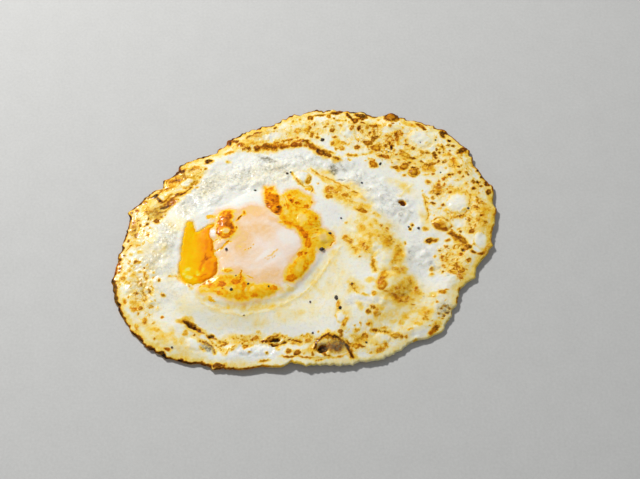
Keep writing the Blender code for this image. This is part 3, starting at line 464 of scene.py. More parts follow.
# The outline, its level and how much of the yolk's own colour shows through.
YOLK_AREAS = (
    (FILM_OUTLINE, 0.07, 1.0), (LOWER_OUTLINE, 0.46, 1.0), (VEINED_OUTLINE, 0.43, 1.0),
    (BAND_OUTLINE, 0.47, 1.0), (CLUSTER_OUTLINE, 0.58, 1.0), (NODULE_OUTLINE, 0.59, 1.0),
    (HALO_OUTLINE, 0.41, 1.0),
)
# x, y, long, wide, tilt, level
YOLK_STAINS = (
    (-17, -0.4, 8, 4.4, 0, 0.12), (-22.6, -5, 4, 9, 0, 0.15), (-19.6, 7.6, 8, 4, 0, 0.16),
    (-13.4, -19.4, 11, 3.4, 0, 0.13), (-29, -11.6, 4, 4, 0, 0.1), (-9.6, 4.6, 6, 2, -25, 0.14),
    (-3.4, -14, 2.2, 6, -30, 0.14), (-25.6, 0, 3, 8, 0, 0.18), (-32.6, -6, 2, 4, 20, 0.14),
    (-26, -18, 7, 2.6, 0, 0.15), (-31.4, -15, 2, 4, 0, 0.16), (-20, -12, 6, 4, 0, 0.05),
)
YOLK_SPOTS = (
    (-28.6, 5.2, 2.2, 2.2, 0, 0.63), (-30.6, 2.6, 1.2, 2.0, 0, 0.66), (-34.6, 5.4, 1.9, 1.0, 5, 0.52),
    (-12.0, 13.4, 2.4, 1.8, 0, 0.68), (-10.4, 11.4, 1.4, 1.6, 0, 0.68), (-12.6, 9.6, 1.0, 1.8, 30, 0.66),
    (-9.2, 8.2, 1.0, 1.6, 0, 0.72), (-13.4, 17.2, 1.2, 0.8, 0, 0.5), (-7.8, 4.4, 1.4, 1.8, 30, 0.56),
    (-5.4, 2.2, 2.8, 1.2, -14, 0.62), (-1.6, 0.2, 2.4, 1.0, -35, 0.68), (0.4, -2.4, 1.2, 1.6, 20, 0.7),
    (1.6, -5.8, 1.4, 2.2, 0, 0.66), (-1.4, -10.4, 1.3, 1.1, 40, 0.68), (-4.2, -20.0, 2.2, 1.3, 8, 0.64),
    (0.8, -14.6, 0.8, 2.6, -20, 0.58), (-29.4, -22.6, 1.8, 1.1, 0, 0.68),
    (-33.4, -22.8, 2.0, 0.8, 15, 0.58), (-24.6, -21.8, 1.6, 1.2, 0, 0.64),
    (-21.6, -23.4, 0.9, 2.0, 0, 0.62), (-22.4, -27.6, 3.2, 1.0, 0, 0.58),
    (-18.0, -27.0, 1.6, 0.7, 10, 0.6), (-30.4, -26.0, 2.2, 0.7, -20, 0.58),
    (-10.8, -24.2, 1.7, 1.0, 8, 0.62), (-27.8, -17.3, 1.9, 0.9, 0, 0.6),
    (-33.0, -28.4, 2.0, 1.0, -42, 0.54), (-27.0, -31.2, 0.9, 0.6, 0, 0.44),
    (-4.6, 12.2, 1.0, 1.0, 0, 0.68), (-2.4, 11.2, 1.2, 0.8, 0, 0.7), (0.8, 10.2, 1.2, 1.0, 0, 0.66),
    (-5.4, 14.6, 1.0, 0.7, 0, 0.62), (-3.6, 16.0, 1.8, 0.7, 0, 0.54), (1.4, 17.8, 1.5, 0.8, 0, 0.54),
    (-6.0, 9.6, 0.8, 1.2, 0, 0.6), (4.0, 4.6, 1.3, 2.2, 0, 0.56), (2.8, 2.0, 1.6, 0.7, 0, 0.6),
    (-25.9, 0.2, 0.6, 1.6, 0, 0.66), (3.2, -11.6, 0.8, 2.0, -10, 0.54),
)
YOLK_MARKS = (
    (-9.6, 9.3, 1.0, 0.6, 0, 1.0), (-10, 7.0, 0.7, 0.6, 0, 0.97), (-10, 14.3, 0.6, 0.5, 0, 0.94),
    (-9.2, 8.2, 0.5, 0.7, 0, 0.92), (-2.8, 11.6, 0.5, 0.4, 0, 0.88), (-4.8, 12.2, 0.6, 0.5, 0, 0.88),
    (-23.8, 4.6, 0.4, 1.3, -35, 0.97), (-24.7, 0.2, 0.4, 0.4, 0, 0.95), (-25.7, -1.6, 0.4, 0.4, 0, 0.96),
    (-30.6, 2.2, 0.6, 0.5, 0, 0.88), (-22, 6.6, 0.3, 0.8, -10, 0.9), (-13.6, 10.8, 0.9, 0.4, 0, 0.88),
    (-29.5, -24.6, 0.5, 0.4, 0, 0.88), (2.8, 12.2, 0.4, 0.8, 20, 0.84), (0.8, -10, 0.9, 0.4, 40, 0.84),
    (4.4, 4.8, 0.4, 0.7, -30, 0.8), (5.2, 0, 0.4, 0.6, 0, 0.84), (-0.6, -9.4, 0.6, 0.3, 30, 0.86),
    (-12.6, 15.6, 0.5, 0.6, 0, 0.8), (-11.6, 11.8, 0.4, 0.9, 30, 0.84), (-7.2, 9.8, 0.5, 0.4, 0, 0.8),
    (-3.6, 13.8, 0.7, 0.3, 30, 0.76), (1.6, 3.2, 0.3, 0.8, 20, 0.72), (-8.6, 2.4, 0.8, 0.3, -20, 0.7),
)
# Pale spots within the yolk's areas.
YOLK_PALE = (
    (-28.8, -1.0, 1.5, 1.4, 0, 0.2), (-31.0, -6.3, 2.2, 0.9, 38, 0.16), (-26.8, -24.3, 1.8, 1.2, 0, 0.33),
    (-0.8, 4.4, 2.2, 2.4, 0, 0.31), (-6.6, 7.2, 1.3, 1.4, 0, 0.33), (-0.6, 13.6, 1.8, 0.8, 0, 0.32),
    (-7.0, 12.6, 0.9, 1.6, 0, 0.3), (-2.2, -16.4, 1.2, 2.0, -30, 0.43), (-11.6, 16.0, 1.2, 0.8, 0, 0.38),
    (3.6, -3.0, 0.6, 2.0, -45, 0.34), (-33.6, -1.6, 1.2, 1.9, 0, 0.02), (-18.4, -24.6, 1.0, 1.2, 0, 0.3),
    (-24.0, -25.4, 1.5, 0.9, 0, 0.42), (1.4, -11.8, 1.0, 1.6, -20, 0.44),
    (-6.0, -3.6, 4.6, 3.4, -35, 0.02), (-35.4, -24.2, 1.6, 0.7, 0, 0.34), (7.0, -3.0, 1.5, 2.0, 0, 0.26),
    (-20.6, -24.8, 0.5, 1.2, 0, 0.33), (-2.0, 6.6, 1.6, 0.8, 0, 0.36), (-30.6, -24.6, 1.2, 0.8, 0, 0.4),
    (-32.6, 7.4, 1.6, 0.7, 20, 0.1), (-14.4, -11.0, 4.6, 1.0, 40, 0.03),
    (-10.4, -12.0, 4.0, 0.7, 40, 0.03), (-14.6, -24.9, 4.6, 1.9, 8, 0.52), (-24, -27.2, 4, 1.0, 0, 0.5),
    (-1.6, -15.6, 1.6, 3.6, -30, 0.45),
)
YOLK_CREASES = (
    (((-14, 11), (-13.2, 8.8), (-11.4, 7), (-9.2, 6)), 0.3, 0.84, -0.2),
    (((-32.2, 1.6), (-31.8, -1.6), (-29.8, -3.8), (-27.4, -3.8)), 0.38, 0.8, 0.2),
    (((-27.4, -3.8), (-26, -1.6), (-26.2, 1)), 0.3, 0.7, 0.2),
    (((-30.8, 1.2), (-29, 1.4), (-27.4, 0.6)), 0.3, 0.68, 0.2),
    (((-33.4, -7.4), (-32.4, -9), (-30.2, -8), (-28.4, -5.6), (-26.4, -5.2)), 0.28, 0.72, -0.15),
    (((-33.2, -5.2), (-31.8, -4.2), (-30.4, -4.6)), 0.22, 0.72, -0.1),
    (((-32.8, -9.6), (-30.8, -9), (-28, -6.2)), 0.3, 0.54, 0.0),
    (((-38.2, -24), (-36.6, -22.4), (-33.4, -20.6), (-31.8, -17.6), (-31.4, -14)), 0.26, 0.72, -0.1),
    (((-22.4, -17), (-22.6, -19.4), (-23.2, -22)), 0.28, 0.8, -0.15),
    (((-23.6, -19), (-22.4, -19.4)), 0.2, 0.74, 0.0), (((-20.4, -19.4), (-18.4, -20)), 0.15, 0.7, -0.1),
    (((-21.4, -9.1), (-19.8, -8.2), (-18.2, -6.6)), 0.13, 0.8, 0.1),
    (((-14.2, -12.6), (-11.6, -10.8), (-9.4, -8.6)), 0.16, 0.4, 0.1),
    (((-13, -13), (-10.6, -11.6)), 0.12, 0.34, 0.1),
    (((-13.2, 3.9), (-10.4, 3.4), (-6, 0.8), (-2.6, -1.4), (-0.6, -5)), 0.3, 0.17, 0.15),
    (((-23, -5.4), (-21.6, -5), (-20, -4.2)), 0.16, 0.36, 0.1), (((-24, -7), (-23, -8)), 0.2, 0.44, 0.0),
    (((0.4, 0.6), (2.6, 0.4), (5.6, 1.6)), 0.16, 0.66, 0.15),
    (((0.2, -0.8), (3, -0.6), (5.6, 0.6)), 0.16, 0.64, 0.15),
    (((0.8, -1.9), (3, -2), (5.4, -1)), 0.16, 0.68, 0.15),
    (((1.4, -3.2), (3.4, -3.6), (5, -2.4)), 0.16, 0.64, 0.1),
    (((2, -4.4), (3.6, -5), (5, -4.4)), 0.14, 0.6, 0.1),
    (((-6, 13.6), (-4.4, 10), (-1.8, 9.4)), 0.18, 0.72, 0.1),
    (((-7.8, 15), (-6.8, 12), (-6.2, 9)), 0.16, 0.68, 0.1),
    (((-3.4, 13.6), (-1.6, 12.6), (0.4, 12.8)), 0.16, 0.7, 0.1),
    (((-1.4, 9.6), (1, 9.2), (2.6, 9.8)), 0.2, 0.74, 0.1),
    (((-2.6, 5.8), (-3.4, 3.6), (-2.4, 1.6)), 0.18, 0.6, 0.1),
    (((3.6, 8), (5.8, 5.6), (6, 2.4)), 0.18, 0.6, 0.15),
    (((9.2, -0.6), (10.6, -2), (11, -4), (9.6, -6.2)), 0.28, 0.88, -0.2),
    (((-14.6, 12), (-13.4, 11.4), (-12.8, 10)), 0.2, 0.78, 0.0),
    (((-24.6, 6.4), (-25.4, 8), (-27, 8.8)), 0.14, 0.36, 0.1),
)
# On the runny yolk: the points that each vein runs through, and its width.
LEAK_VEINS = (
    (((-38, -17.4), (-37.4, -15), (-36.2, -12.8), (-34, -11.4)), 0.35),
    (((-37.2, -13), (-36, -11.4), (-36, -10)), 0.25),
    (((-38.6, -20.6), (-36.2, -20.6), (-33.6, -19.6), (-32, -17), (-31.8, -14)), 0.5),
    (((-36.8, -18.8), (-35.2, -18)), 0.25), (((-39.8, -18.6), (-38.2, -19.4), (-37, -19.2)), 0.2),
    (((-34.4, -2.4), (-33.6, -5.4), (-33.6, -9)), 0.3),
)
# Blistered film beside the yolk's crown: x, y, long, wide, tilt, height.
FILM_LUMPS = (
    (-28.6, 4.6, 3.2, 3.2, 0, 0.5), (-29.0, -0.8, 2.4, 2.2, 0, 0.5), (-31.0, -6.4, 2.7, 1.3, 38, 0.4),
    (1.8, 4.2, 4.4, 3.8, 0, 0.7), (-12.0, 13.0, 2.8, 2.4, 0, 0.4), (-10.6, 9.2, 2.4, 2.0, 0, 0.3),
    (-3.6, 12.0, 2.6, 2.0, 0, 0.4), (-25.0, -24.6, 5.0, 3.4, -8, 0.3), (-14.6, -25.0, 5.4, 2.2, 8, 0.5),
    (-1.8, -15.6, 2.6, 6.0, -28, 0.4), (-37.6, -18.4, 2.4, 2.2, 0, 0.3), (-34.0, -15.4, 2.2, 3.4, 0, 0.4),
    (7.4, -2.8, 2.6, 2.5, 0, 0.7), (-33.0, -28.4, 2.2, 1.3, -42, 0.3), (-27.8, -17.3, 2.0, 1.2, 0, 0.3),
    (-33.4, -1.6, 1.4, 2.0, 0, 0.3),
)

# Pepper flecks: x, y, radius.
PEPPER = (
    (11.8, -27.2, 0.8), (13.1, -31.2, 0.52), (2.4, -28.9, 0.48), (6.5, -7.9, 0.85), (9.6, -0.8, 0.55),
    (-28.2, -8.7, 0.58), (-26.0, -24.8, 0.45), (-20.0, -22.6, 0.42), (-12.6, -23.6, 0.34),
    (-18.3, 17.0, 0.45), (-6.4, 24.6, 0.52), (-5.1, 25.3, 0.32), (13.7, 5.6, 0.38), (21.7, 21.9, 0.38),
    (28.7, 30.4, 0.6), (6.8, 40.9, 0.72), (-46.7, -45.8, 0.42), (22.4, -44.2, 0.5), (42.4, 2.6, 0.48),
    (50.0, 40.6, 0.34), (51.5, 26.4, 0.32), (3.3, -41.0, 0.36), (-21.3, -34.1, 0.28), (38.8, 3.2, 0.34),
    (61.1, 10.6, 0.38), (-24.5, -19.4, 0.24), (17.5, -21.6, 0.34), (44.2, 39.6, 0.26), (33.0, 36.8, 0.28),
    (32.0, 35.6, 0.24),
)

# ---------------------------------------------------------------- the runny yolk, and shares of looks
LEAK_DEEP = (
    (-34.6, -14.4, 2.2, 4.6, 0, 0.7), (-35.6, -6, 2, 5, 0, 0.72), (-35.4, -11.6, 1.6, 1.6, 0, 0.8),
)
# Paler patches on the runny yolk; those at its lower end are painted glints on pale yolk.
LEAK_PALE_AND_GLINTS = (
    (-42, -16.2, 1.8, 1.0, 20, 0.9), (-41.6, -19.2, 1.7, 0.8, 0, 1.0), (-38.2, -17.8, 1.0, 1.4, 0, 1.0),
    (-38.8, -20.4, 1.0, 0.6, 0, 0.7), (-43.4, -18, 1.0, 1.0, 0, 0.7), (-36.8, -16.2, 0.6, 0.9, 0, 0.8),
    (-41.4, 2.2, 0.8, 0.9, 0, 0.4), (-35.4, 1.2, 1.4, 0.5, 25, 0.7), (-38.6, -0.9, 2.2, 0.5, 30, 0.5),
)
TONE_BASE = 0.03
SPOT_CLEARING = 0.22  # how much lighter the middle of a large spot is than its edge
SPOT_HALO = 0.60
SPOT_RISE = 0.12
DOME_SHARE = 0.6
LUMP_SHARE = 0.6
FILM_GRAIN_TURN = 36
CAMERA_AIM = (5.9, -1.1)

# ---------------------------------------------------------------- colours, as they look on a screen, 0 to 255
TOAST_COLOURS = (
    (0.0, (239, 240, 234)), (0.12, (245, 241, 222)), (0.24, (248, 234, 188)), (0.36, (249, 219, 130)),
    (0.47, (245, 202, 66)), (0.58, (231, 166, 24)), (0.7, (190, 116, 10)), (0.82, (128, 72, 6)),
    (0.93, (66, 36, 10)), (1.0, (26, 14, 8)),
)
YOLK_COLOURS = (
    (0.0, (246, 243, 234)), (0.06, (250, 231, 218)), (0.12, (250, 220, 190)), (0.2, (247, 204, 148)),
    (0.32, (250, 216, 126)), (0.44, (254, 208, 58)), (0.54, (253, 190, 10)), (0.65, (240, 142, 0)),
    (0.78, (196, 102, 0)), (1.0, (44, 22, 10)),
)
RUNNY_COLOURS = (
    (0.0, (240, 226, 110)), (0.25, (246, 210, 20)), (0.45, (250, 184, 0)), (0.7, (248, 148, 0)),
    (1.0, (176, 80, 0)),
)
# Painted highlight: the colour of fine pale lines that stand for glints on wrinkles, partly pale rims of burst
# bubbles.
GLINT_AND_RIM_COLOUR = (255, 232, 150)
AMBER_COLOUR = (214, 112, 6)
OLIVE_COLOUR = (140, 104, 16)
# Grey of thin glassy white, also used as painted shade and as a painted shadow.
GLASS_AND_SHADE_COLOUR = (130, 120, 88)
# Painted shade: the grey laid in the hollows of the lumpy white, and as a grey mottle over the pale white.
PAINTED_SHADE_COLOUR = (190, 190, 180)
PEPPER_COLOURS = ((0.0, (20, 13, 9)), (1.0, (70, 50, 34)))
FLOOR_COLOURS = ((0.0, (192, 192, 190)), (1.0, (210, 210, 208)))


# ---------------------------------------------------------------- fields over places
def smoothstep(low, high, value):
    share = np.clip((value - low) / (high - low), 0.0, 1.0)
    return share * share * (3.0 - 2.0 * share)


TURNS = np.random.default_rng(1).uniform(0.0, math.tau, (256, 256))


def waves(x, y, seed):
    """Smooth gradient noise of about -1 to 1, with one random slope at each whole number."""
    i, j = np.floor(x).astype(int), np.floor(y).astype(int)
    s, t = x - i, y - j
    u, v = (part**3 * (part * (part * 6.0 - 15.0) + 10.0) for part in (s, t))
    total = 0.0
    for right, share_u in ((0, 1.0 - u), (1, u)):
        for up, share_v in ((0, 1.0 - v), (1, v)):
            turn = TURNS[(j + up + 37 * seed) % 256, (i + right + 91 * seed) % 256]
            total = total + share_u * share_v * (np.cos(turn) * (s - right) + np.sin(turn) * (t - up))
    return 1.5 * total


def unevenness(x, y, length, seed, octaves=2):
    """Noise of about -1 to 1 at each place, with lumps about one length apart."""
    total, weight, weights = 0.0, 1.0, 0.0
    for octave in range(octaves):
        finer = 2.0**octave / length
        total = total + weight * waves(x * finer, y * finer, seed * 8 + octave)
        weights += weight
        weight *= 0.55
    return np.clip(1.35 * total / weights, -1.2, 1.2)


def cells(x, y, length, seed):
    """How far each place is inside a cell of a random foam: 1 in the middle, 0 at a wall."""
    x, y = x / length, y / length
    i, j = np.floor(x).astype(int), np.floor(y).astype(int)
    away = []
    for right in (-1, 0, 1):
        for up in (-1, 0, 1):
            turn = TURNS[(j + up + 53 * seed) % 256, (i + right + 29 * seed) % 256]
            middle_x = i + right + 0.5 + 0.45 * np.cos(turn)
            middle_y = j + up + 0.5 + 0.45 * np.sin(turn)
            away.append(np.hypot(x - middle_x, y - middle_y))
    nearest, second = np.sort(np.stack(away), axis=0)[:2]
    return np.clip(second - nearest, 0.0, 1.0)


def ellipse(x, y, middle_x, middle_y, long, wide, tilt):
    """Distance of each place from an ellipse's middle, as a share of its radius there."""
    cos, sin = math.cos(math.radians(tilt)), math.sin(math.radians(tilt))
    along = (x - middle_x) * cos + (y - middle_y) * sin
    across = (y - middle_y) * cos - (x - middle_x) * sin
    return np.hypot(along / long, across / wide)


def patches(x, y, table, inner=0.55, outer=1.25):
    """The highest level that any soft-edged ellipse of the table gives to each place."""
    highest = np.zeros_like(x)
    for *shape, level in table:
        mask = smoothstep(outer, inner, ellipse(x, y, *shape))
        highest = np.maximum(highest, level * mask)
    return highest


def from_line(x, y, points):
    """Distance of each place from a line of straight runs through the points."""
    nearest = np.full_like(x, np.inf)
    for (ax, ay), (bx, by) in zip(points, points[1:]):
        run_x, run_y = bx - ax, by - ay
        along = np.clip(((x - ax) * run_x + (y - ay) * run_y) / (run_x**2 + run_y**2), 0.0, 1.0)
        nearest = np.minimum(nearest, np.hypot(x - ax - along * run_x, y - ay - along * run_y))
    return nearest


def inside(x, y, outline):
    """How far each place is inside a closed outline; below 0 outside it."""
    away = from_line(x, y, outline + outline[:1])
    within = np.zeros(x.shape, bool)
    for (ax, ay), (bx, by) in zip(outline, outline[1:] + outline[:1]):
        crossed = (ay > y) != (by > y)
        within ^= crossed & (x < ax + (y - ay) * (bx - ax) / (by - ay + 1e-9))
    return np.where(within, away, -away)


def round_the_ring(values, angle):
    """A smooth closed curve through evenly spaced values, read at each angle."""
    values = np.array(values)
    count = len(values)
    place = (angle / math.tau) % 1.0 * count
    index = place.astype(int)
    t = place - index
    a, b, c, d = (values[(index + step) % count] for step in (-1, 0, 1, 2))
    return b + 0.5 * t * (c - a) + 0.5 * t * t * (2 * a - 5 * b + 4 * c - d + t * (3 * (b - c) + d - a))


# ---------------------------------------------------------------- what the solids give
def tree_of(node):
    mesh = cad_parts[node].data
    shift = Vector((*ORIGIN, 0.0))
    points = [vertex.co / MM - shift for vertex in mesh.vertices]
    return BVHTree.FromPolygons(points, [tuple(face.vertices) for face in mesh.polygons])


def outline_of(node, middle, runs=12, step=3):
    """The node's outline seen from above, as its radius about a middle, read at each angle."""
    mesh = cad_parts[node].data
    corners = np.array([vertex.co[:2] for vertex in mesh.vertices]) / MM - ORIGIN - middle
    starts, ends = (corners[[edge.vertices[end] for edge in mesh.edges]] for end in (0, 1))
    points = np.concatenate([starts + (ends - starts) * part / runs for part in range(runs)])
    angles = np.degrees(np.arctan2(points[:, 1], points[:, 0])) % 360.0
    radii = np.hypot(points[:, 0], points[:, 1])
    parts = range(360 // step)
    rim_radii = np.array([radii[(angles // step) == part].max() for part in parts])
    rim_angles = np.radians([(part + 0.5) * step for part in parts])
    return lambda angle: np.interp(angle % math.tau, rim_angles, rim_radii, period=math.tau)


def blurred(heights, passes):
    for _ in range(passes):
        wide = np.pad(heights, 1, mode="edge")
        heights = (wide[:-2, 1:-1] + 2 * wide[1:-1, 1:-1] + wide[2:, 1:-1]) / 4
        wide = np.pad(heights, 1, mode="edge")
        heights = (wide[1:-1, :-2] + 2 * wide[1:-1, 1:-1] + wide[1:-1, 2:]) / 4
    return heights


class Raster:
    """Heights of the solids over a square raster, spread past their outline, and read at any place."""

    def __init__(self, nodes, upwards):
        (low_x, low_y, _), (high_x, high_y, _) = CAD_BOX
        self.low = np.array((low_x, low_y)) / MM - ORIGIN - 6.0
        high = np.array((high_x, high_y)) / MM - ORIGIN + 6.0
        columns, rows = ((high - self.low) / RASTER_STEP).astype(int) + 1
        heights = np.full((rows, columns), np.nan)
        start, way = (-50.0, 1.0) if upwards else (50.0, -1.0)
        for tree in [tree_of(node) for node in nodes]:
            for row in range(rows):
                for column in range(columns):
                    x, y = self.low + np.array((column, row)) * RASTER_STEP
                    hit = tree.ray_cast(Vector((x, y, start)), Vector((0.0, 0.0, way)))[0]
                    if hit is not None:
                        heights[row, column] = np.fmax(heights[row, column], hit.z)
        self.heights = blurred(self.spread(heights), RASTER_BLUR_PASSES)

    @staticmethod
    def spread(heights):
        """Fills the empty places from their filled neighbours, ring by ring."""
        while np.isnan(heights).any():
            wide = np.pad(heights, 1, constant_values=np.nan)
            around = np.stack([wide[:-2, 1:-1], wide[2:, 1:-1], wide[1:-1, :-2], wide[1:-1, 2:]])
            filled = ~np.isnan(around)
            total = np.where(filled, around, 0.0).sum(0)
            mean = total / np.maximum(filled.sum(0), 1)
            heights = np.where(np.isnan(heights) & filled.any(0), mean, heights)
        return heights

    def at(self, x, y):
        rows, columns = self.heights.shape
        column = np.clip((x - self.low[0]) / RASTER_STEP, 0, columns - 1.001)
        row = np.clip((y - self.low[1]) / RASTER_STEP, 0, rows - 1.001)
        i, j = column.astype(int), row.astype(int)
        s, t = column - i, row - j
        near = self.heights[j, i] * (1 - s) + self.heights[j, i + 1] * s
        far = self.heights[j + 1, i] * (1 - s) + self.heights[j + 1, i + 1] * s
        return near * (1 - t) + far * t


TOP = Raster(("egg_white", "yolk"), upwards=False)
UNDER = Raster(("egg_white",), upwards=True)
WHITE_RADIUS = outline_of("egg_white", np.zeros(2))
YOLK_RADIUS = outline_of("yolk", YOLK_PLACE)


# ---------------------------------------------------------------- closed sheets
def disc_grid(columns, rows):
    """Share of the radius and angle of each point of a square grid that is carried onto a disc."""
    u, v = np.meshgrid(np.linspace(-1, 1, columns + 1), np.linspace(-1, 1, rows + 1))
    sideways = np.abs(u) > np.abs(v)
    safe_u = np.where(u == 0, 1.0, u)
    safe_v = np.where(v == 0, 1.0, v)
    angle = np.where(
        sideways,
        math.pi / 4 * v / safe_u + math.pi * (u < 0),
        math.pi / 2 - math.pi / 4 * u / safe_v + math.pi * (v < 0),
    )
    return np.where(sideways, np.abs(u), np.abs(v)), np.where((u == 0) & (v == 0), 0.0, angle)


def rim_of_grid(columns, rows):
    """Indices of a grid's outer points, counter-clockwise from its first corner."""
    index = np.arange((columns + 1) * (rows + 1)).reshape(rows + 1, columns + 1)
    return np.concatenate([index[0, :-1], index[:-1, -1], index[-1, :0:-1], index[:0:-1, 0]])


def quads_of_grid(columns, rows):
    index = np.arange((columns + 1) * (rows + 1)).reshape(rows + 1, columns + 1)
    return np.stack([index[:-1, :-1], index[:-1, 1:], index[1:, 1:], index[1:, :-1]], axis=-1).reshape(-1, 4)


def closed_sheet(name, upper, lower, columns, rows, share, attributes):
    """One closed mesh of an upper grid, an underside with fewer cells, and the rim between them."""
    upper_points = np.stack([part.ravel() for part in upper], axis=1)
    lower_points = np.stack([part.ravel() for part in lower], axis=1)
    first = len(upper_points)
    faces = quads_of_grid(columns, rows).tolist()
    faces += (quads_of_grid(columns // share, rows // share)[:, ::-1] + first).tolist()
    above = rim_of_grid(columns, rows).tolist()
    below = (rim_of_grid(columns // share, rows // share) + first).tolist()
    for index, low in enumerate(below):
        next_low = below[(index + 1) % len(below)]
        fan = [above[(share * index + step) % len(above)] for step in range(share + 1)]
        half = share // 2
        faces += [(low, later, earlier) for earlier, later in zip(fan[:half], fan[1:])]
        faces.append((low, next_low, fan[half]))
        faces += [(next_low, later, earlier) for earlier, later in zip(fan[half:], fan[half + 1:])]
    points = np.concatenate([upper_points, lower_points]) + (*ORIGIN, 0.0)
    mesh = bpy.data.meshes.new(name)
    mesh.from_pydata(points * MM, [], faces)
    mesh.validate()
    mesh.shade_smooth()
    for attribute, (on_upper, on_lower) in attributes.items():
        values = np.concatenate([on_upper.ravel(), on_lower.ravel()])
        mesh.attributes.new(attribute, "FLOAT", "POINT").data.foreach_set("value", values)
    piece = bpy.data.objects.new(name, mesh)
    bpy.context.scene.collection.objects.link(piece)
    return piece


# ---------------------------------------------------------------- the white
def rim_radius(angle):
    """Radius of the egg's ragged rim at each angle, and of the solid's smooth outline."""
    smooth = WHITE_RADIUS(angle)
    x, y = smooth * np.cos(angle), smooth * np.sin(angle)
    ragged = smooth - RIM_TRIM
    for detail_x, detail_y, width, out in RIM_DETAILS:
        ragged += out * np.exp(-(((x - detail_x) ** 2 + (y - detail_y) ** 2) / width**2))
    for seed, (length, depth) in enumerate(RIM_JAGS):
        ragged += depth * unevenness(x, y, length, 40 + seed, 1) * (1.0 + unevenness(x, y, 12.0, 47))
    return ragged, smooth


def sheet_places(columns, rows):
    share, angle = disc_grid(columns, rows)
    ragged, smooth = rim_radius(angle)
    radius = share * smooth + (ragged - smooth) * smoothstep(RIM_FROM, 1.0, share)
    return angle, radius * np.cos(angle), radius * np.sin(angle), (1.0 - share) * smooth


def near_places(x, y, middle_x, middle_y, reach):
    return (np.abs(x - middle_x) < reach) & (np.abs(y - middle_y) < reach)


def stamp(field, x, y, middle_x, middle_y, radius, height, profile):
    """Adds a small round form to the field, only near where it is."""
    near = near_places(x, y, middle_x, middle_y, 1.5 * radius)
    away = np.hypot(x[near] - middle_x, y[near] - middle_y) / radius
    field[near] += height * profile(away)


def dome(away):
    return smoothstep(1.15, 0.1, away)


def crater(away):
    return np.exp(-(((away - 0.8) / 0.28) ** 2)) - 0.8 * smoothstep(0.8, 0.2, away)


def browned(toast, x, y, spots, clearing=SPOT_CLEARING):
    """Lays browned spots over the levels: darker towards their edge, and with a golden halo round them."""
    for spot_x, spot_y, long, wide, tilt, level in spots:
        near = near_places(x, y, spot_x, spot_y, 2.2 * max(long, wide) + 1.5)
        size = min(long, wide)
        past = (ellipse(x[near], y[near], spot_x, spot_y, long, wide, tilt) - 1.0) * size
        core = smoothstep(0.28, -0.20, past) * level
        core *= 1.0 - clearing * smoothstep(-0.35, -1.1, past)
        halo = SPOT_HALO * level * smoothstep(0.4 + 0.6 * size, -0.1, past)
        toast[near] = np.maximum(toast[near], np.maximum(core, halo))


def scatter(count, least, spread, weight, rng):
    """Random places and radii, kept in proportion to the weight that a table of zones gives them."""
    low, high = (np.array(corner)[:2] / MM - ORIGIN for corner in CAD_BOX)
    kept = []
    while len(kept) < count:
        x, y = rng.uniform(low, high, (4000, 2)).T
        radius = least + spread * rng.random(4000) ** 2.5
        draw = rng.random(4000)
        keep = rng.random(4000) < patches(x, y, weight)
        kept += zip(x[keep], y[keep], radius[keep], draw[keep])
    return kept[:count]


def fried_levels(looks):
    """How far the white is fried, from pale to almost black."""
    x, y, warp_x, warp_y, to_rim = (looks[name] for name in ("x", "y", "warp_x", "warp_y", "to_rim"))
    broad, mottle = unevenness(x, y, 5.0, 5), unevenness(x, y, 2.0, 6, 3)
    toast = TONE_BASE + patches(looks["wide_x"], looks["wide_y"], TONES, 0.3, 1.4)
    walls = smoothstep(0.30, 0.0, cells(x + 0.6 * mottle, y - 0.6 * broad, 2.8, 10))
    toast *= 1.0 + 0.50 * broad + 0.40 * mottle + 0.35 * walls * looks["lace"]
    stains = patches(warp_x, warp_y, STAINS, 0.25, 1.3) * (1.0 + 0.22 * mottle + 0.10 * broad)
    toast = np.maximum(toast, stains)
    ring_width = RIM_STAIN_WIDTH * (1.0 + 0.5 * broad)
    stain = round_the_ring(RIM_STAIN, looks["angle"]) * (1.0 + 0.2 * mottle)
    toast = np.maximum(toast, stain * smoothstep(ring_width, 0.15 * ring_width, to_rim))
    bare = looks["bare"] * smoothstep(0.2, 1.4, to_rim)
    toast *= 1.0 - 0.7 * bare
    level = round_the_ring(RIM_TOAST, looks["angle"]) * (1.0 + 0.18 * unevenness(x, y, 3.0, 7))
    width = RIM_TOAST_WIDTH * np.clip(1.0 + 0.9 * unevenness(x, y, 4.0, 8), 0.3, 2.0)
    width *= 1.0 + 0.5 * smoothstep(0.84, 0.92, level)
    toast = np.maximum(toast, level * smoothstep(1.35, 0.65, to_rim / width))
    browned(toast, warp_x, warp_y, RIM_SPOTS + FIELD_SPOTS)
    small = []
    for spot_x, spot_y, radius, draw in looks["scattered"]:
        small.append((spot_x, spot_y, radius, radius * (0.6 + 0.4 * draw), 180.0 * draw, 0.52 + 0.26 * draw))
    spotted = np.zeros_like(toast)
    browned(spotted, warp_x, warp_y, small)
    return np.maximum(toast, spotted * (1.0 - 0.8 * bare))


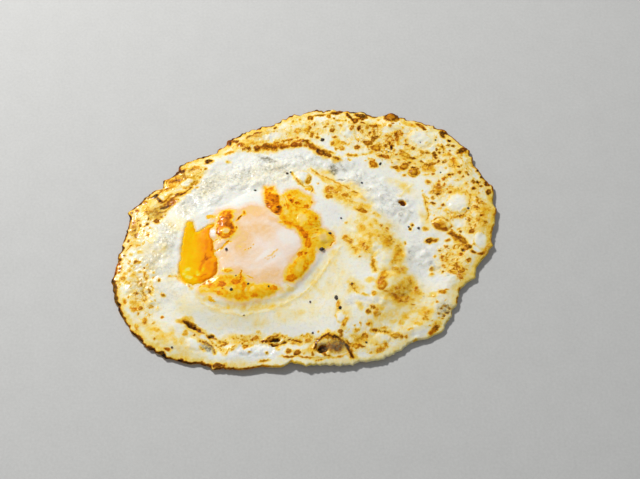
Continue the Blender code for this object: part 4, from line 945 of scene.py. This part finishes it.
def add_relief(looks, rng):
    """Heights of the white's own forms, over the smooth heights of the solids."""
    x, y, warp_x, warp_y = (looks[name] for name in ("x", "y", "warp_x", "warp_y"))
    lace, lumps = looks["lace"], looks["lumps"]
    rough = 1.0 - 0.85 * looks["smooth"]
    ridges = 1.0 - 2.0 * np.abs(unevenness(x, y, 3.4, 9, 3))
    relief = 0.32 * lumps * unevenness(x, y, 8.0, 11)
    relief += (0.16 * lumps + 0.05 * lace) * ridges * rough
    relief += 0.14 * lace * cells(x, y, 2.6, 12) * rough
    relief += (0.06 + 0.06 * lace + 0.04 * lumps) * unevenness(x, y, 1.3, 13) * rough
    relief += 0.15 * looks["smooth"] * unevenness(x, y, 9.0, 14)
    relief *= 1.0 - 0.8 * looks["over_yolk"]
    relief += APRON_HEIGHT * np.exp(-(((looks["past_yolk"] - 1.2) / APRON_WIDTH) ** 2))
    for spot_x, spot_y, long, wide, tilt, level in RIM_SPOTS + FIELD_SPOTS:
        near = near_places(x, y, spot_x, spot_y, 1.5 * max(long, wide))
        away = ellipse(warp_x[near], warp_y[near], spot_x, spot_y, long, wide, tilt)
        relief[near] += SPOT_RISE * min(1.0, min(long, wide)) * dome(away)
    for dome_x, dome_y, long, wide, tilt, height, _ in DOMES:
        away = ellipse(warp_x, warp_y, dome_x, dome_y, long, wide, tilt)
        relief += DOME_SHARE * height * np.sqrt(np.clip(1.0 - away**2, 0.0, 1.0)) ** 1.3
        relief -= 0.10 * np.exp(-(((away - 1.12) / 0.12) ** 2))
    for place_x, place_y, radius, draw in looks["scattered"]:
        stamp(relief, x, y, place_x, place_y, radius, 0.08 + 0.1 * draw, dome if draw > 0.3 else crater)
    for place_x, place_y, radius, draw in scatter(320, 0.7, 1.6, LACE + LUMPS, rng):
        stamp(relief, x, y, place_x, place_y, radius, 0.05 + 0.14 * draw, dome if draw > 0.35 else crater)
    for place_x, place_y, radius, draw in scatter(150, 1.2, 2.0, LUMPS, rng):
        stamp(relief, x, y, place_x, place_y, radius, 0.12 + 0.22 * draw, dome)
    for hole_x, hole_y, long, wide, tilt, depth in HOLES:
        away = ellipse(warp_x, warp_y, hole_x, hole_y, long, wide, tilt)
        relief -= depth * smoothstep(1.15, 0.45, away)
        relief += 0.2 * np.exp(-(((away - 1.45) / 0.3) ** 2))
    return relief


def white_fields():
    """Places of the upper face of the white, and the looks of each: a dict of fields."""
    angle, x, y, to_rim = sheet_places(SHEET_COLUMNS, SHEET_ROWS)
    rng = np.random.default_rng(5)
    looks = {"x": x, "y": y, "angle": angle, "to_rim": to_rim}

    # Places shifted a little at random, so that no edge of a patch is a true ellipse.
    looks["wide_x"] = x + 1.6 * unevenness(x, y, 7.0, 1)
    looks["wide_y"] = y + 1.6 * unevenness(x, y, 7.0, 2)
    warp_x = x + 0.40 * unevenness(x, y, 2.2, 3) + 0.18 * unevenness(x, y, 0.9, 24, 1)
    warp_y = y + 0.40 * unevenness(x, y, 2.2, 4) + 0.18 * unevenness(x, y, 0.9, 25, 1)
    looks["warp_x"], looks["warp_y"] = warp_x, warp_y

    looks["lace"] = patches(looks["wide_x"], looks["wide_y"], LACE)
    looks["lumps"] = patches(looks["wide_x"], looks["wide_y"], LUMPS)
    looks["smooth"] = patches(looks["wide_x"], looks["wide_y"], SMOOTH)
    looks["bare"] = patches(warp_x, warp_y, PALE)
    looks["glassy"] = patches(warp_x, warp_y, GLASSY_AND_SHADED, 0.3, 1.3)
    looks["scattered"] = scatter(420, 0.28, 0.8, LACE, rng)
    from_yolk_x, from_yolk_y = x - YOLK_PLACE[0], y - YOLK_PLACE[1]
    past_yolk = np.hypot(from_yolk_x, from_yolk_y) - YOLK_RADIUS(np.arctan2(from_yolk_y, from_yolk_x))
    over_yolk = looks["over_yolk"] = smoothstep(0.8, -1.2, past_yolk)
    looks["past_yolk"] = past_yolk

    toast = fried_levels(looks)
    relief = add_relief(looks, rng)
    for dome_x, dome_y, long, wide, tilt, _, level in DOMES:
        away = ellipse(warp_x, warp_y, dome_x, dome_y, long, wide, tilt)
        ring = np.exp(-(((away - 1.0) * min(long, wide) / 0.4) ** 2))
        ring *= 0.8 + 0.5 * unevenness(x, y, 3.0, int(dome_x) + 80)
        toast = np.maximum(toast, level * np.clip(ring, 0.0, 1.0))
    broken = np.clip(1.0 + 0.7 * unevenness(x, y, 3.0, 28) + 0.35 * unevenness(x, y, 1.3, 29), 0.3, 1.9)
    for points, width, level, height in CREASES:
        away = from_line(warp_x, warp_y, points) / (width * broken)
        toast = np.maximum(toast, level * (0.7 + 0.3 * np.minimum(broken, 1.0)) * smoothstep(1.6, 0.3, away))
        toast = np.maximum(toast, 0.55 * level * smoothstep(3.0, 0.8, away / (1.0 + 0.25 / width)))
        relief += 0.5 * height * np.exp(-((away / 1.4) ** 2))
    # Painted shade: each hollow is painted near-black inside, over its browning.
    for hole_x, hole_y, long, wide, tilt, _ in HOLES:
        away = ellipse(warp_x, warp_y, hole_x, hole_y, long, wide, tilt)
        toast = np.maximum(toast, 0.97 * smoothstep(1.15, 0.6, away))

    # The film over the yolk, torn open where the yolk has run out.
    leak_depth = inside(warp_x, warp_y, LEAK_OUTLINE)
    leak = smoothstep(-0.35, 0.35, leak_depth)
    ridged = 1.0 - 2.0 * np.abs(unevenness(x, y, 2.4, 21, 3))
    fine = unevenness(x, y, 1.2, 26)
    yolky, on_yolk = np.full_like(x, 0.12), np.zeros_like(x)
    for outline, level, share in YOLK_AREAS:
        depth = inside(looks["warp_x"], looks["warp_y"], outline)
        area = smoothstep(-1.2, 1.0, depth + 0.35 * ridged)
        uneven = level * (1.0 + (0.20 * ridged + 0.14 * fine) * (level > 0.3))
        yolky = yolky * (1.0 - area) + uneven * area
        on_yolk = np.maximum(on_yolk, share * smoothstep(-2.2, 0.2, depth))
    film = smoothstep(-0.5, 0.8, inside(warp_x, warp_y, FILM_OUTLINE))
    stain = patches(looks["wide_x"], looks["wide_y"], YOLK_STAINS, 0.0, 1.6)
    yolky += stain * film * (1.0 + 0.25 * fine)
    yolky = np.maximum(yolky, 0.46 * smoothstep(-1.6, -0.1, leak_depth))
    on_yolk = np.maximum(on_yolk, 0.9 * smoothstep(-1.8, -0.3, leak_depth))
    for *shape, level in YOLK_PALE:
        patch = smoothstep(1.3, 0.5, ellipse(warp_x, warp_y, *shape))
        yolky += (level * (1.0 + 0.15 * fine) - yolky) * 0.85 * patch
    spotted = np.zeros_like(yolky)
    browned(spotted, warp_x, warp_y, YOLK_SPOTS, 0.04)
    spotted *= 1.0 + 0.10 * ridged
    marked = np.zeros_like(yolky)
    browned(marked, warp_x, warp_y, YOLK_MARKS)
    yolky = np.maximum(yolky, np.maximum(spotted, marked))
    on_yolk = np.maximum(on_yolk, smoothstep(0.3, 0.5, spotted))
    broken = np.clip(1.0 + 0.5 * unevenness(x, y, 2.6, 27) + 0.3 * fine, 0.4, 1.6)
    for points, width, level, height in YOLK_CREASES:
        away = from_line(warp_x, warp_y, points) / (width * broken)
        yolky = np.maximum(yolky, level * smoothstep(1.6, 0.4, away))
        relief += 0.5 * height * np.exp(-((away / 1.4) ** 2))
    for lump_x, lump_y, long, wide, tilt, height in FILM_LUMPS:
        away = ellipse(warp_x, warp_y, lump_x, lump_y, long, wide, tilt)
        relief += LUMP_SHARE * height * np.sqrt(np.clip(1.0 - away**2, 0.0, 1.0))
        relief += 0.10 * unevenness(x, y, 1.6, int(lump_x) + 120) * smoothstep(1.1, 0.6, away)
    looks["on_yolk"], looks["yolky"], looks["toast"] = on_yolk, yolky, toast
    turn = math.radians(FILM_GRAIN_TURN)
    along, across = x * math.cos(turn) + y * math.sin(turn), y * math.cos(turn) - x * math.sin(turn)
    relief += 0.05 * over_yolk * unevenness(along / 7.0, across, 1.5, 22)
    curl = RIM_CURL_HEIGHT * np.exp(-(((to_rim - 0.8) / RIM_CURL_WIDTH) ** 2))
    relief += curl * (0.5 + unevenness(x, y, 6.0, 23))

    under = UNDER.at(x, y)
    relief -= DOME_DROP * smoothstep(0.5, -9.0, past_yolk)
    film = FILM_THICKNESS * over_yolk * smoothstep(0.4, -3.0, leak_depth)
    top = TOP.at(x, y) + relief + film - LEAK_DIP * leak
    round_off = np.sqrt(np.clip(1.0 - (1.0 - np.clip(to_rim / EDGE_ROUNDING, 0.0, 1.0)) ** 2, 0.0, 1.0))
    round_off *= 1.0 - RIM_THINNING * smoothstep(RIM_SLOPE, 0.0, to_rim)
    top = under + EDGE_THICKNESS + np.maximum(top - under - EDGE_THICKNESS, 0.0) * round_off
    looks["z"] = np.maximum(top, under + LEAST_THICKNESS)
    return looks


def make_white():
    """The white and the film over the yolk, as one closed mesh that has no hollow for the yolk."""
    looks = white_fields()
    angle, x, y, to_rim = sheet_places(SHEET_COLUMNS // SHEET_SHARE, SHEET_ROWS // SHEET_SHARE)
    pitted = 0.25 * cells(x, y, 5.0, 30) * smoothstep(0.5, 4.0, to_rim)
    below = UNDER.at(x, y) + pitted
    none = np.zeros_like(x)
    under_toast = 0.58 + 0.22 * unevenness(x, y, 9.0, 31, 3) + 0.10 * smoothstep(6.0, 1.5, to_rim)
    rim_toast = EDGE_TOAST_SHARE * round_the_ring(RIM_TOAST, angle)
    under_toast += (rim_toast - under_toast) * smoothstep(1.5, 0.0, to_rim)
    attributes = {name: (looks[name], none) for name in ("yolky", "on_yolk", "glassy")}
    attributes["toast"] = (looks["toast"], under_toast)
    attributes["lace"] = (looks["lace"] * (1.0 - looks["bare"]), none + 0.6)
    # Where painted shade greys the lumpy white, away from the yolk.
    attributes["painted_shade"] = (looks["lumps"] * (1.0 - looks["over_yolk"]), none)
    upper = (looks["x"], looks["y"], looks["z"])
    return closed_sheet(
        "fried_white", upper, (x, y, below), SHEET_COLUMNS, SHEET_ROWS, SHEET_SHARE, attributes
    )


# ---------------------------------------------------------------- the yolk
def make_yolk():
    """The yolk, which shows where the film is torn; the rest of it overlaps the inside of the white's mesh."""
    share, angle = disc_grid(YOLK_COLUMNS, YOLK_ROWS)
    radius = share * (YOLK_RADIUS(angle) + YOLK_MARGIN)
    x, y = YOLK_PLACE[0] + radius * np.cos(angle), YOLK_PLACE[1] + radius * np.sin(angle)
    warp_x = x + 0.40 * unevenness(x, y, 2.2, 3) + 0.18 * unevenness(x, y, 0.9, 24, 1)
    warp_y = y + 0.40 * unevenness(x, y, 2.2, 4) + 0.18 * unevenness(x, y, 0.9, 25, 1)
    depth = inside(warp_x, warp_y, LEAK_OUTLINE)
    leak = smoothstep(-1.0, 0.1, depth)
    top = TOP.at(x, y) - YOLK_SUNK + (YOLK_SUNK + LEAK_SWELL) * leak + 0.05 * unevenness(x, y, 4.0, 50)
    past_outline = radius - YOLK_RADIUS(angle)
    top += LEAK_SWELL * smoothstep(0.2, 2.2, depth) - DOME_DROP * smoothstep(0.5, -9.0, past_outline)
    edge = smoothstep(1.0, 0.93, share)
    low = YOLK_LOW[2] + 0.4
    middle = (YOLK_LOW[2] + YOLK_HIGH[2]) / 3
    top = middle + (top - middle) * edge
    bend = x + 0.12 * (y + 10.0) + 0.6 * unevenness(x, y, 5.0, 52)
    level = 0.40 + 0.22 * smoothstep(-41.0, -35.6, bend) + 0.05 * unevenness(x, y, 3.5, 51)
    level = np.maximum(level, patches(warp_x, warp_y, LEAK_DEEP, 0.3, 1.3))
    # Lighter where the pale patches and the painted glints lie.
    level -= 0.42 * patches(warp_x, warp_y, LEAK_PALE_AND_GLINTS, 0.3, 1.3) * (1.0 + 0.5 * unevenness(x, y, 1.4, 53))
    for points, width in LEAK_VEINS:
        level += 0.22 * smoothstep(2.2, 0.4, from_line(warp_x, warp_y, points) / width)
    under_share, under_angle = disc_grid(YOLK_COLUMNS // YOLK_SHARE, YOLK_ROWS // YOLK_SHARE)
    under_radius = under_share * (YOLK_RADIUS(under_angle) + YOLK_MARGIN)
    under_x = YOLK_PLACE[0] + under_radius * np.cos(under_angle)
    under_y = YOLK_PLACE[1] + under_radius * np.sin(under_angle)
    under = low + (middle - YOLK_RIM_DEPTH - low) * under_share**4
    attributes = {"runny": (level, np.full_like(under, 0.6))}
    lower = (under_x, under_y, under)
    return closed_sheet("runny_yolk", (x, y, top), lower, YOLK_COLUMNS, YOLK_ROWS, YOLK_SHARE, attributes)


# ---------------------------------------------------------------- pepper
def ball_shape():
    """Points and faces of a ball of radius 1."""
    shape = bmesh.new()
    bmesh.ops.create_icosphere(shape, subdivisions=2, radius=1.0)
    points = np.array([vertex.co for vertex in shape.verts])
    faces = [tuple(corner.index for corner in face.verts) for face in shape.faces]
    shape.free()
    return points, faces


def make_pepper(white, yolk):
    """Ground pepper: one joined mesh of small, broken grains, each sunk in the surface by about a third."""
    trees = []
    for piece in (white, yolk):
        points = [vertex.co / MM for vertex in piece.data.vertices]
        trees.append(BVHTree.FromPolygons(points, [tuple(face.vertices) for face in piece.data.polygons]))
    grain, grain_faces = ball_shape()
    rng = np.random.default_rng(9)
    points, faces = [], []
    for place_x, place_y, radius in PEPPER:
        x, y = ORIGIN + (place_x, place_y)
        hits = [tree.ray_cast(Vector((x, y, 50.0)), Vector((0.0, 0.0, -1.0)))[0] for tree in trees]
        ground = max(hit.z for hit in hits if hit is not None)
        bulge = np.array([noise.noise(Vector(point * 1.4) + Vector((x, y, 0.0))) for point in grain])
        stretch = rng.uniform(0.7, 1.25, 3) * (1.0, 1.0, 0.6)
        turned = grain * (1.0 + 0.55 * bulge)[:, None] * stretch * radius
        spin = rng.uniform(0.0, math.tau)
        cos, sin = math.cos(spin), math.sin(spin)
        turned = turned @ np.array(((cos, sin, 0.0), (-sin, cos, 0.0), (0.0, 0.0, 1.0)))
        faces += [tuple(index + len(points) for index in face) for face in grain_faces]
        points += (turned + (x, y, ground + 0.15 * radius)).tolist()
    mesh = bpy.data.meshes.new("pepper_flecks")
    mesh.from_pydata(np.array(points) * MM, [], faces)
    piece = bpy.data.objects.new("pepper_flecks", mesh)
    bpy.context.scene.collection.objects.link(piece)
    return piece


# ---------------------------------------------------------------- materials
def linear(colour):
    """A screen colour, 0 to 255, as the linear colour that a shader takes."""
    parts = [part / 255 for part in colour]
    return [part / 12.92 if part <= 0.04045 else ((part + 0.055) / 1.055) ** 2.4 for part in parts] + [1.0]


class Graph:
    """A material's nodes, made and joined in one call each."""

    def __init__(self, name):
        self.material = bpy.data.materials.new(name)
        self.material.use_nodes = True
        self.tree = self.material.node_tree
        self.shader = self.tree.nodes["Principled BSDF"]
        self.place = self.tree.nodes.new("ShaderNodeTexCoord").outputs["Object"]
        self.shaken = self.shaken_place(1.6, 1.5)

    def join(self, source, target):
        self.tree.links.new(source, target)

    def attribute(self, name):
        node = self.tree.nodes.new("ShaderNodeAttribute")
        node.attribute_name = name
        return node.outputs["Fac"]

    def noise(self, size, detail=3.0, roughness=0.55):
        """Noise with lumps of a size in millimetres, from 0 to 1."""
        node = self.tree.nodes.new("ShaderNodeTexNoise")
        node.inputs["Scale"].default_value = 1.0 / (size * MM)
        node.inputs["Detail"].default_value = detail
        node.inputs["Roughness"].default_value = roughness
        self.join(self.place, node.inputs["Vector"])
        return node.outputs["Fac"]

    def shaken_place(self, size, shift):
        """The place moved about at random, by up to half the shift, so that no cell of a foam is straight."""
        noise_node = self.tree.nodes.new("ShaderNodeTexNoise")
        noise_node.inputs["Scale"].default_value = 1.0 / (size * MM)
        self.join(self.place, noise_node.inputs["Vector"])
        node = self.tree.nodes.new("ShaderNodeVectorMath")
        node.operation = "MULTIPLY_ADD"
        node.inputs[1].default_value = (shift * MM, shift * MM, shift * MM)
        self.join(noise_node.outputs["Color"], node.inputs[0])
        self.join(self.place, node.inputs[2])
        return node.outputs[0]

    def foam(self, size, feature="F1"):
        """Distance in a random foam, as a share of the size in millimetres, and each cell's colour."""
        node = self.tree.nodes.new("ShaderNodeTexVoronoi")
        node.feature = feature
        node.inputs["Scale"].default_value = 1.0 / (size * MM)
        self.join(self.shaken, node.inputs["Vector"])
        return node.outputs["Distance"], node.outputs.get("Color")

    def part(self, colour, index):
        node = self.tree.nodes.new("ShaderNodeSeparateColor")
        self.join(colour, node.inputs["Color"])
        return node.outputs[index]

    def maths(self, operation, first, second, third=0.0):
        node = self.tree.nodes.new("ShaderNodeMath")
        node.operation = operation
        for slot, value in zip(node.inputs, (first, second, third)):
            if isinstance(value, float):
                slot.default_value = value
            else:
                self.join(value, slot)
        return node.outputs[0]

    def between(self, value, low, high):
        """Carries the value smoothly from 0 at low to 1 at high."""
        node = self.tree.nodes.new("ShaderNodeMapRange")
        node.interpolation_type = "SMOOTHSTEP"
        for name, limit in (("From Min", low), ("From Max", high)):
            if isinstance(limit, float):
                node.inputs[name].default_value = limit
            else:
                self.join(limit, node.inputs[name])
        self.join(value, node.inputs["Value"])
        return node.outputs["Result"]

    def ramp(self, level, stops):
        node = self.tree.nodes.new("ShaderNodeValToRGB")
        elements = node.color_ramp.elements
        for position, _ in stops[2:]:
            elements.new(position)
        for element, (position, colour) in zip(elements, stops):
            element.position = position
            element.color = linear(colour)
        self.join(level, node.inputs["Fac"])
        return node.outputs["Color"]

    def mix(self, share, first, second):
        node = self.tree.nodes.new("ShaderNodeMix")
        node.data_type = "RGBA"
        self.join(share, node.inputs["Factor"])
        for slot, value in ((node.inputs[6], first), (node.inputs[7], second)):
            if isinstance(value, tuple):
                slot.default_value = linear(value)
            else:
                self.join(value, slot)
        return node.outputs[2]

    def bump(self, height, depth, strength=1.0):
        node = self.tree.nodes.new("ShaderNodeBump")
        node.inputs["Distance"].default_value = depth * MM
        node.inputs["Strength"].default_value = strength
        self.join(height, node.inputs["Height"])
        self.join(node.outputs["Normal"], self.shader.inputs["Normal"])

    def set(self, **values):
        for name, value in values.items():
            slot = self.shader.inputs[name.replace("_", " ")]
            if isinstance(value, (int, float, tuple)):
                slot.default_value = value
            else:
                self.join(value, slot)


def pin_pricks(graph, size, level):
    """Tiny browned dots, one in some of the cells of a random foam; 0 between them."""
    away, colour = graph.foam(size)
    draw = graph.part(colour, 0)
    radius = graph.maths("MULTIPLY_ADD", graph.part(colour, 1), 0.20, 0.06)
    dot = graph.between(away, graph.maths("ADD", radius, 0.07), graph.maths("SUBTRACT", radius, 0.05))
    return graph.maths("MULTIPLY", graph.maths("MULTIPLY", dot, graph.between(draw, 0.45, 0.60)), level)


def rings(graph, size, level):
    """Fine browned rings round some of the middles of a random foam; 0 between them."""
    away, colour = graph.foam(size)
    radius = graph.maths("MULTIPLY_ADD", graph.part(colour, 1), 0.16, 0.20)
    off = graph.maths("ABSOLUTE", graph.maths("SUBTRACT", away, radius), 0.0)
    ring = graph.between(off, 0.075, 0.01)
    some_rings = graph.maths("MULTIPLY", ring, graph.between(graph.part(colour, 0), 0.6, 0.7))
    return graph.maths("MULTIPLY", some_rings, level)


def veins(graph, size, width, level, share):
    """Fine, broken lines between the cells of a random foam, where the share is above 0."""
    line = graph.between(graph.foam(size, "DISTANCE_TO_EDGE")[0], width, 0.0)
    gaps = graph.between(graph.noise(2.0 * size), 0.42, 0.60)
    return graph.maths("MULTIPLY", graph.maths("MULTIPLY", line, gaps), graph.maths("MULTIPLY", share, level))


def fried_white_material():
    graph = Graph("fried_white")
    grain, dust = graph.noise(1.5, 5.0, 0.68), graph.noise(0.42, 3.0)
    wobble = graph.maths("MULTIPLY_ADD", grain, 0.90, -0.45)
    wobble = graph.maths("MULTIPLY_ADD", dust, 0.40, graph.maths("SUBTRACT", wobble, 0.20))
    toast = graph.attribute("toast")
    toast = graph.maths("MULTIPLY_ADD", wobble, graph.maths("MULTIPLY_ADD", toast, 0.8, 0.14), toast)
    lace = graph.attribute("lace")
    toast = graph.maths("ADD", toast, veins(graph, 2.8, 0.07, 0.26, lace))
    toast = graph.maths("ADD", toast, veins(graph, 1.3, 0.10, 0.14, lace))
    pricks = graph.maths("MAXIMUM", pin_pricks(graph, 2.3, 0.80), rings(graph, 3.1, 0.64))
    toast = graph.maths("MAXIMUM", toast, graph.maths("MULTIPLY", pricks, lace))
    yolky = graph.attribute("yolky")
    yolky = graph.maths("MULTIPLY_ADD", wobble, graph.maths("MULTIPLY_ADD", yolky, 0.8, 0.04), yolky)
    fried = graph.ramp(toast, TOAST_COLOURS)
    hue, brown = graph.noise(6.0, 4.0, 0.7), graph.between(toast, 0.42, 0.66)
    amber = graph.maths("MULTIPLY", graph.between(hue, 0.53, 0.68), graph.maths("MULTIPLY", brown, 0.45))
    fried = graph.mix(amber, fried, AMBER_COLOUR)
    olive = graph.maths("MULTIPLY", graph.between(hue, 0.52, 0.38), graph.maths("MULTIPLY", brown, 0.34))
    fried = graph.mix(olive, fried, OLIVE_COLOUR)
    # Painted highlight: fine pale lines over the golden band, as glints on wrinkles and partly as pale rims of
    # burst bubbles.
    golden = graph.maths("MULTIPLY", graph.between(toast, 0.34, 0.46), graph.between(toast, 0.72, 0.56))
    fried = graph.mix(veins(graph, 1.7, 0.11, 0.50, golden), fried, GLINT_AND_RIM_COLOUR)
    # Painted shade: grey clouds, a grey mottle and fine grey lines over the pale white, most in its lumps, as
    # shade in hollows.
    clouds = graph.between(graph.noise(2.6, 4.0, 0.6), 0.46, 0.72)
    painted_shade = graph.maths("MULTIPLY", graph.attribute("painted_shade"), clouds)
    mottle = graph.between(graph.noise(1.1, 4.0, 0.7), 0.50, 0.74)
    painted_shade = graph.maths("MAXIMUM", graph.maths("MULTIPLY", painted_shade, 0.55), graph.maths("MULTIPLY", mottle, 0.34))
    painted_shade = graph.maths("ADD", painted_shade, veins(graph, 2.4, 0.08, 0.55, graph.attribute("painted_shade")))
    painted_shade = graph.maths("ADD", painted_shade, veins(graph, 1.1, 0.12, 0.30, graph.attribute("painted_shade")))
    painted_shade = graph.maths("MULTIPLY", painted_shade, graph.between(toast, 0.42, 0.16))
    fried = graph.mix(painted_shade, fried, PAINTED_SHADE_COLOUR)
    # Grey of thin glassy white, partly painted shade and a painted shadow, broken into streaks.
    streaks = graph.maths("MULTIPLY_ADD", graph.noise(0.9, 3.0, 0.7), 2.4, -0.6)
    glassy = graph.maths("MULTIPLY", graph.attribute("glassy"), streaks)
    fried = graph.mix(graph.between(glassy, 0.0, 0.9), fried, GLASS_AND_SHADE_COLOUR)
    colour = graph.mix(graph.attribute("on_yolk"), fried, graph.ramp(yolky, YOLK_COLOURS))
    roughness = graph.maths("MULTIPLY_ADD", grain, 0.30, 0.32)
    graph.set(Base_Color=colour, Roughness=roughness, Specular_IOR_Level=0.04)
    graph.set(Subsurface_Weight=0.5, Subsurface_Scale=0.0015, Subsurface_Radius=(1.0, 0.8, 0.55))
    graph.set(Coat_Weight=0.12, Coat_Roughness=0.14)
    graph.bump(graph.maths("ADD", grain, graph.maths("MULTIPLY", dust, 0.5)), 0.25, 0.5)
    return graph.material


def runny_yolk_material():
    graph = Graph("runny_yolk")
    grain = graph.noise(2.5, 3.0)
    level = graph.maths("MULTIPLY_ADD", grain, 0.30, graph.maths("SUBTRACT", graph.attribute("runny"), 0.15))
    roughness = graph.maths("MULTIPLY_ADD", grain, 0.16, 0.24)
    graph.set(Base_Color=graph.ramp(level, RUNNY_COLOURS), Roughness=roughness, Specular_IOR_Level=0.02)
    graph.set(Subsurface_Weight=0.2, Subsurface_Scale=0.001, Subsurface_Radius=(1.0, 0.5, 0.15))
    graph.set(Coat_Weight=0.04, Coat_Roughness=0.05)
    graph.bump(grain, 0.12, 0.3)
    return graph.material


def pepper_material():
    graph = Graph("ground_pepper")
    grain = graph.noise(0.3, 3.0)
    roughness = graph.maths("MULTIPLY_ADD", grain, 0.2, 0.5)
    graph.set(Base_Color=graph.ramp(grain, PEPPER_COLOURS), Roughness=roughness)
    graph.bump(grain, 0.1, 0.6)
    return graph.material


def floor_material():
    graph = Graph("grey_floor")
    speckle = graph.maths("MULTIPLY_ADD", graph.noise(1.0, 3.0, 0.7), 1.2, -0.3)
    cloud = graph.maths("MULTIPLY_ADD", graph.noise(9.0, 3.0, 0.6), 0.4, -0.1)
    graph.set(Base_Color=graph.ramp(graph.maths("ADD", speckle, cloud), FLOOR_COLOURS))
    graph.set(Roughness=0.8, Specular_IOR_Level=0.2)
    return graph.material


# ---------------------------------------------------------------- floor, lights and camera
def make_floor(size=1.6):
    mesh = bpy.data.meshes.new("floor")
    half = size / 2
    corners = [(-half, -half, 0), (half, -half, 0), (half, half, 0), (-half, half, 0)]
    mesh.from_pydata(corners, [], [(0, 1, 2, 3)])
    floor = bpy.data.objects.new("floor", mesh)
    bpy.context.scene.collection.objects.link(floor)
    mesh.materials.append(floor_material())


def aim(thing, place, target):
    thing.location = place
    thing.rotation_euler = (Vector(target) - Vector(place)).to_track_quat("-Z", "Y").to_euler()


def add_light(name, place, size, power, colour):
    data = bpy.data.lights.new(name, "AREA")
    data.shape = "DISK"
    data.size = size
    data.energy = power
    data.color = colour
    light = bpy.data.objects.new(name, data)
    bpy.context.scene.collection.objects.link(light)
    aim(light, place, (0.0, 0.0, 0.0))


def make_lights():
    add_light("key", (-0.392, 0.459, 0.588), 0.095, 6.9, (1.0, 0.99, 0.975))
    add_light("fill", (0.3, -0.6, 1.3), 1.2, 1.35, (0.94, 0.97, 1.0))
    world = bpy.data.worlds.new("studio")
    world.use_nodes = True
    background = world.node_tree.nodes["Background"]
    background.inputs["Color"].default_value = (0.93, 0.96, 1.0, 1.0)
    background.inputs["Strength"].default_value = 0.23
    bpy.context.scene.world = world
    bpy.context.scene.view_settings.view_transform = "Standard"


def make_camera():
    data = bpy.data.cameras.new("camera")
    data.lens = 85.0
    data.sensor_width = 36.0
    camera = bpy.data.objects.new("camera", data)
    bpy.context.scene.collection.objects.link(camera)
    target = Vector((*(ORIGIN + CAMERA_AIM), 0.0)) * MM
    elevation, distance = math.radians(62), 0.56
    offset = Vector((0.0, -math.cos(elevation), math.sin(elevation))) * distance
    aim(camera, target + offset, target)
    bpy.context.scene.camera = camera


# ---------------------------------------------------------------- the egg, put together
white = make_white()
white.data.materials.append(fried_white_material())
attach(white, "root")
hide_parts("egg_white")

yolk = make_yolk()
yolk.data.materials.append(runny_yolk_material())
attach(yolk, "root")
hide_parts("yolk")

pepper = make_pepper(white, yolk)
pepper.data.materials.append(pepper_material())
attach(pepper, "root")

make_floor()
make_lights()
make_camera()
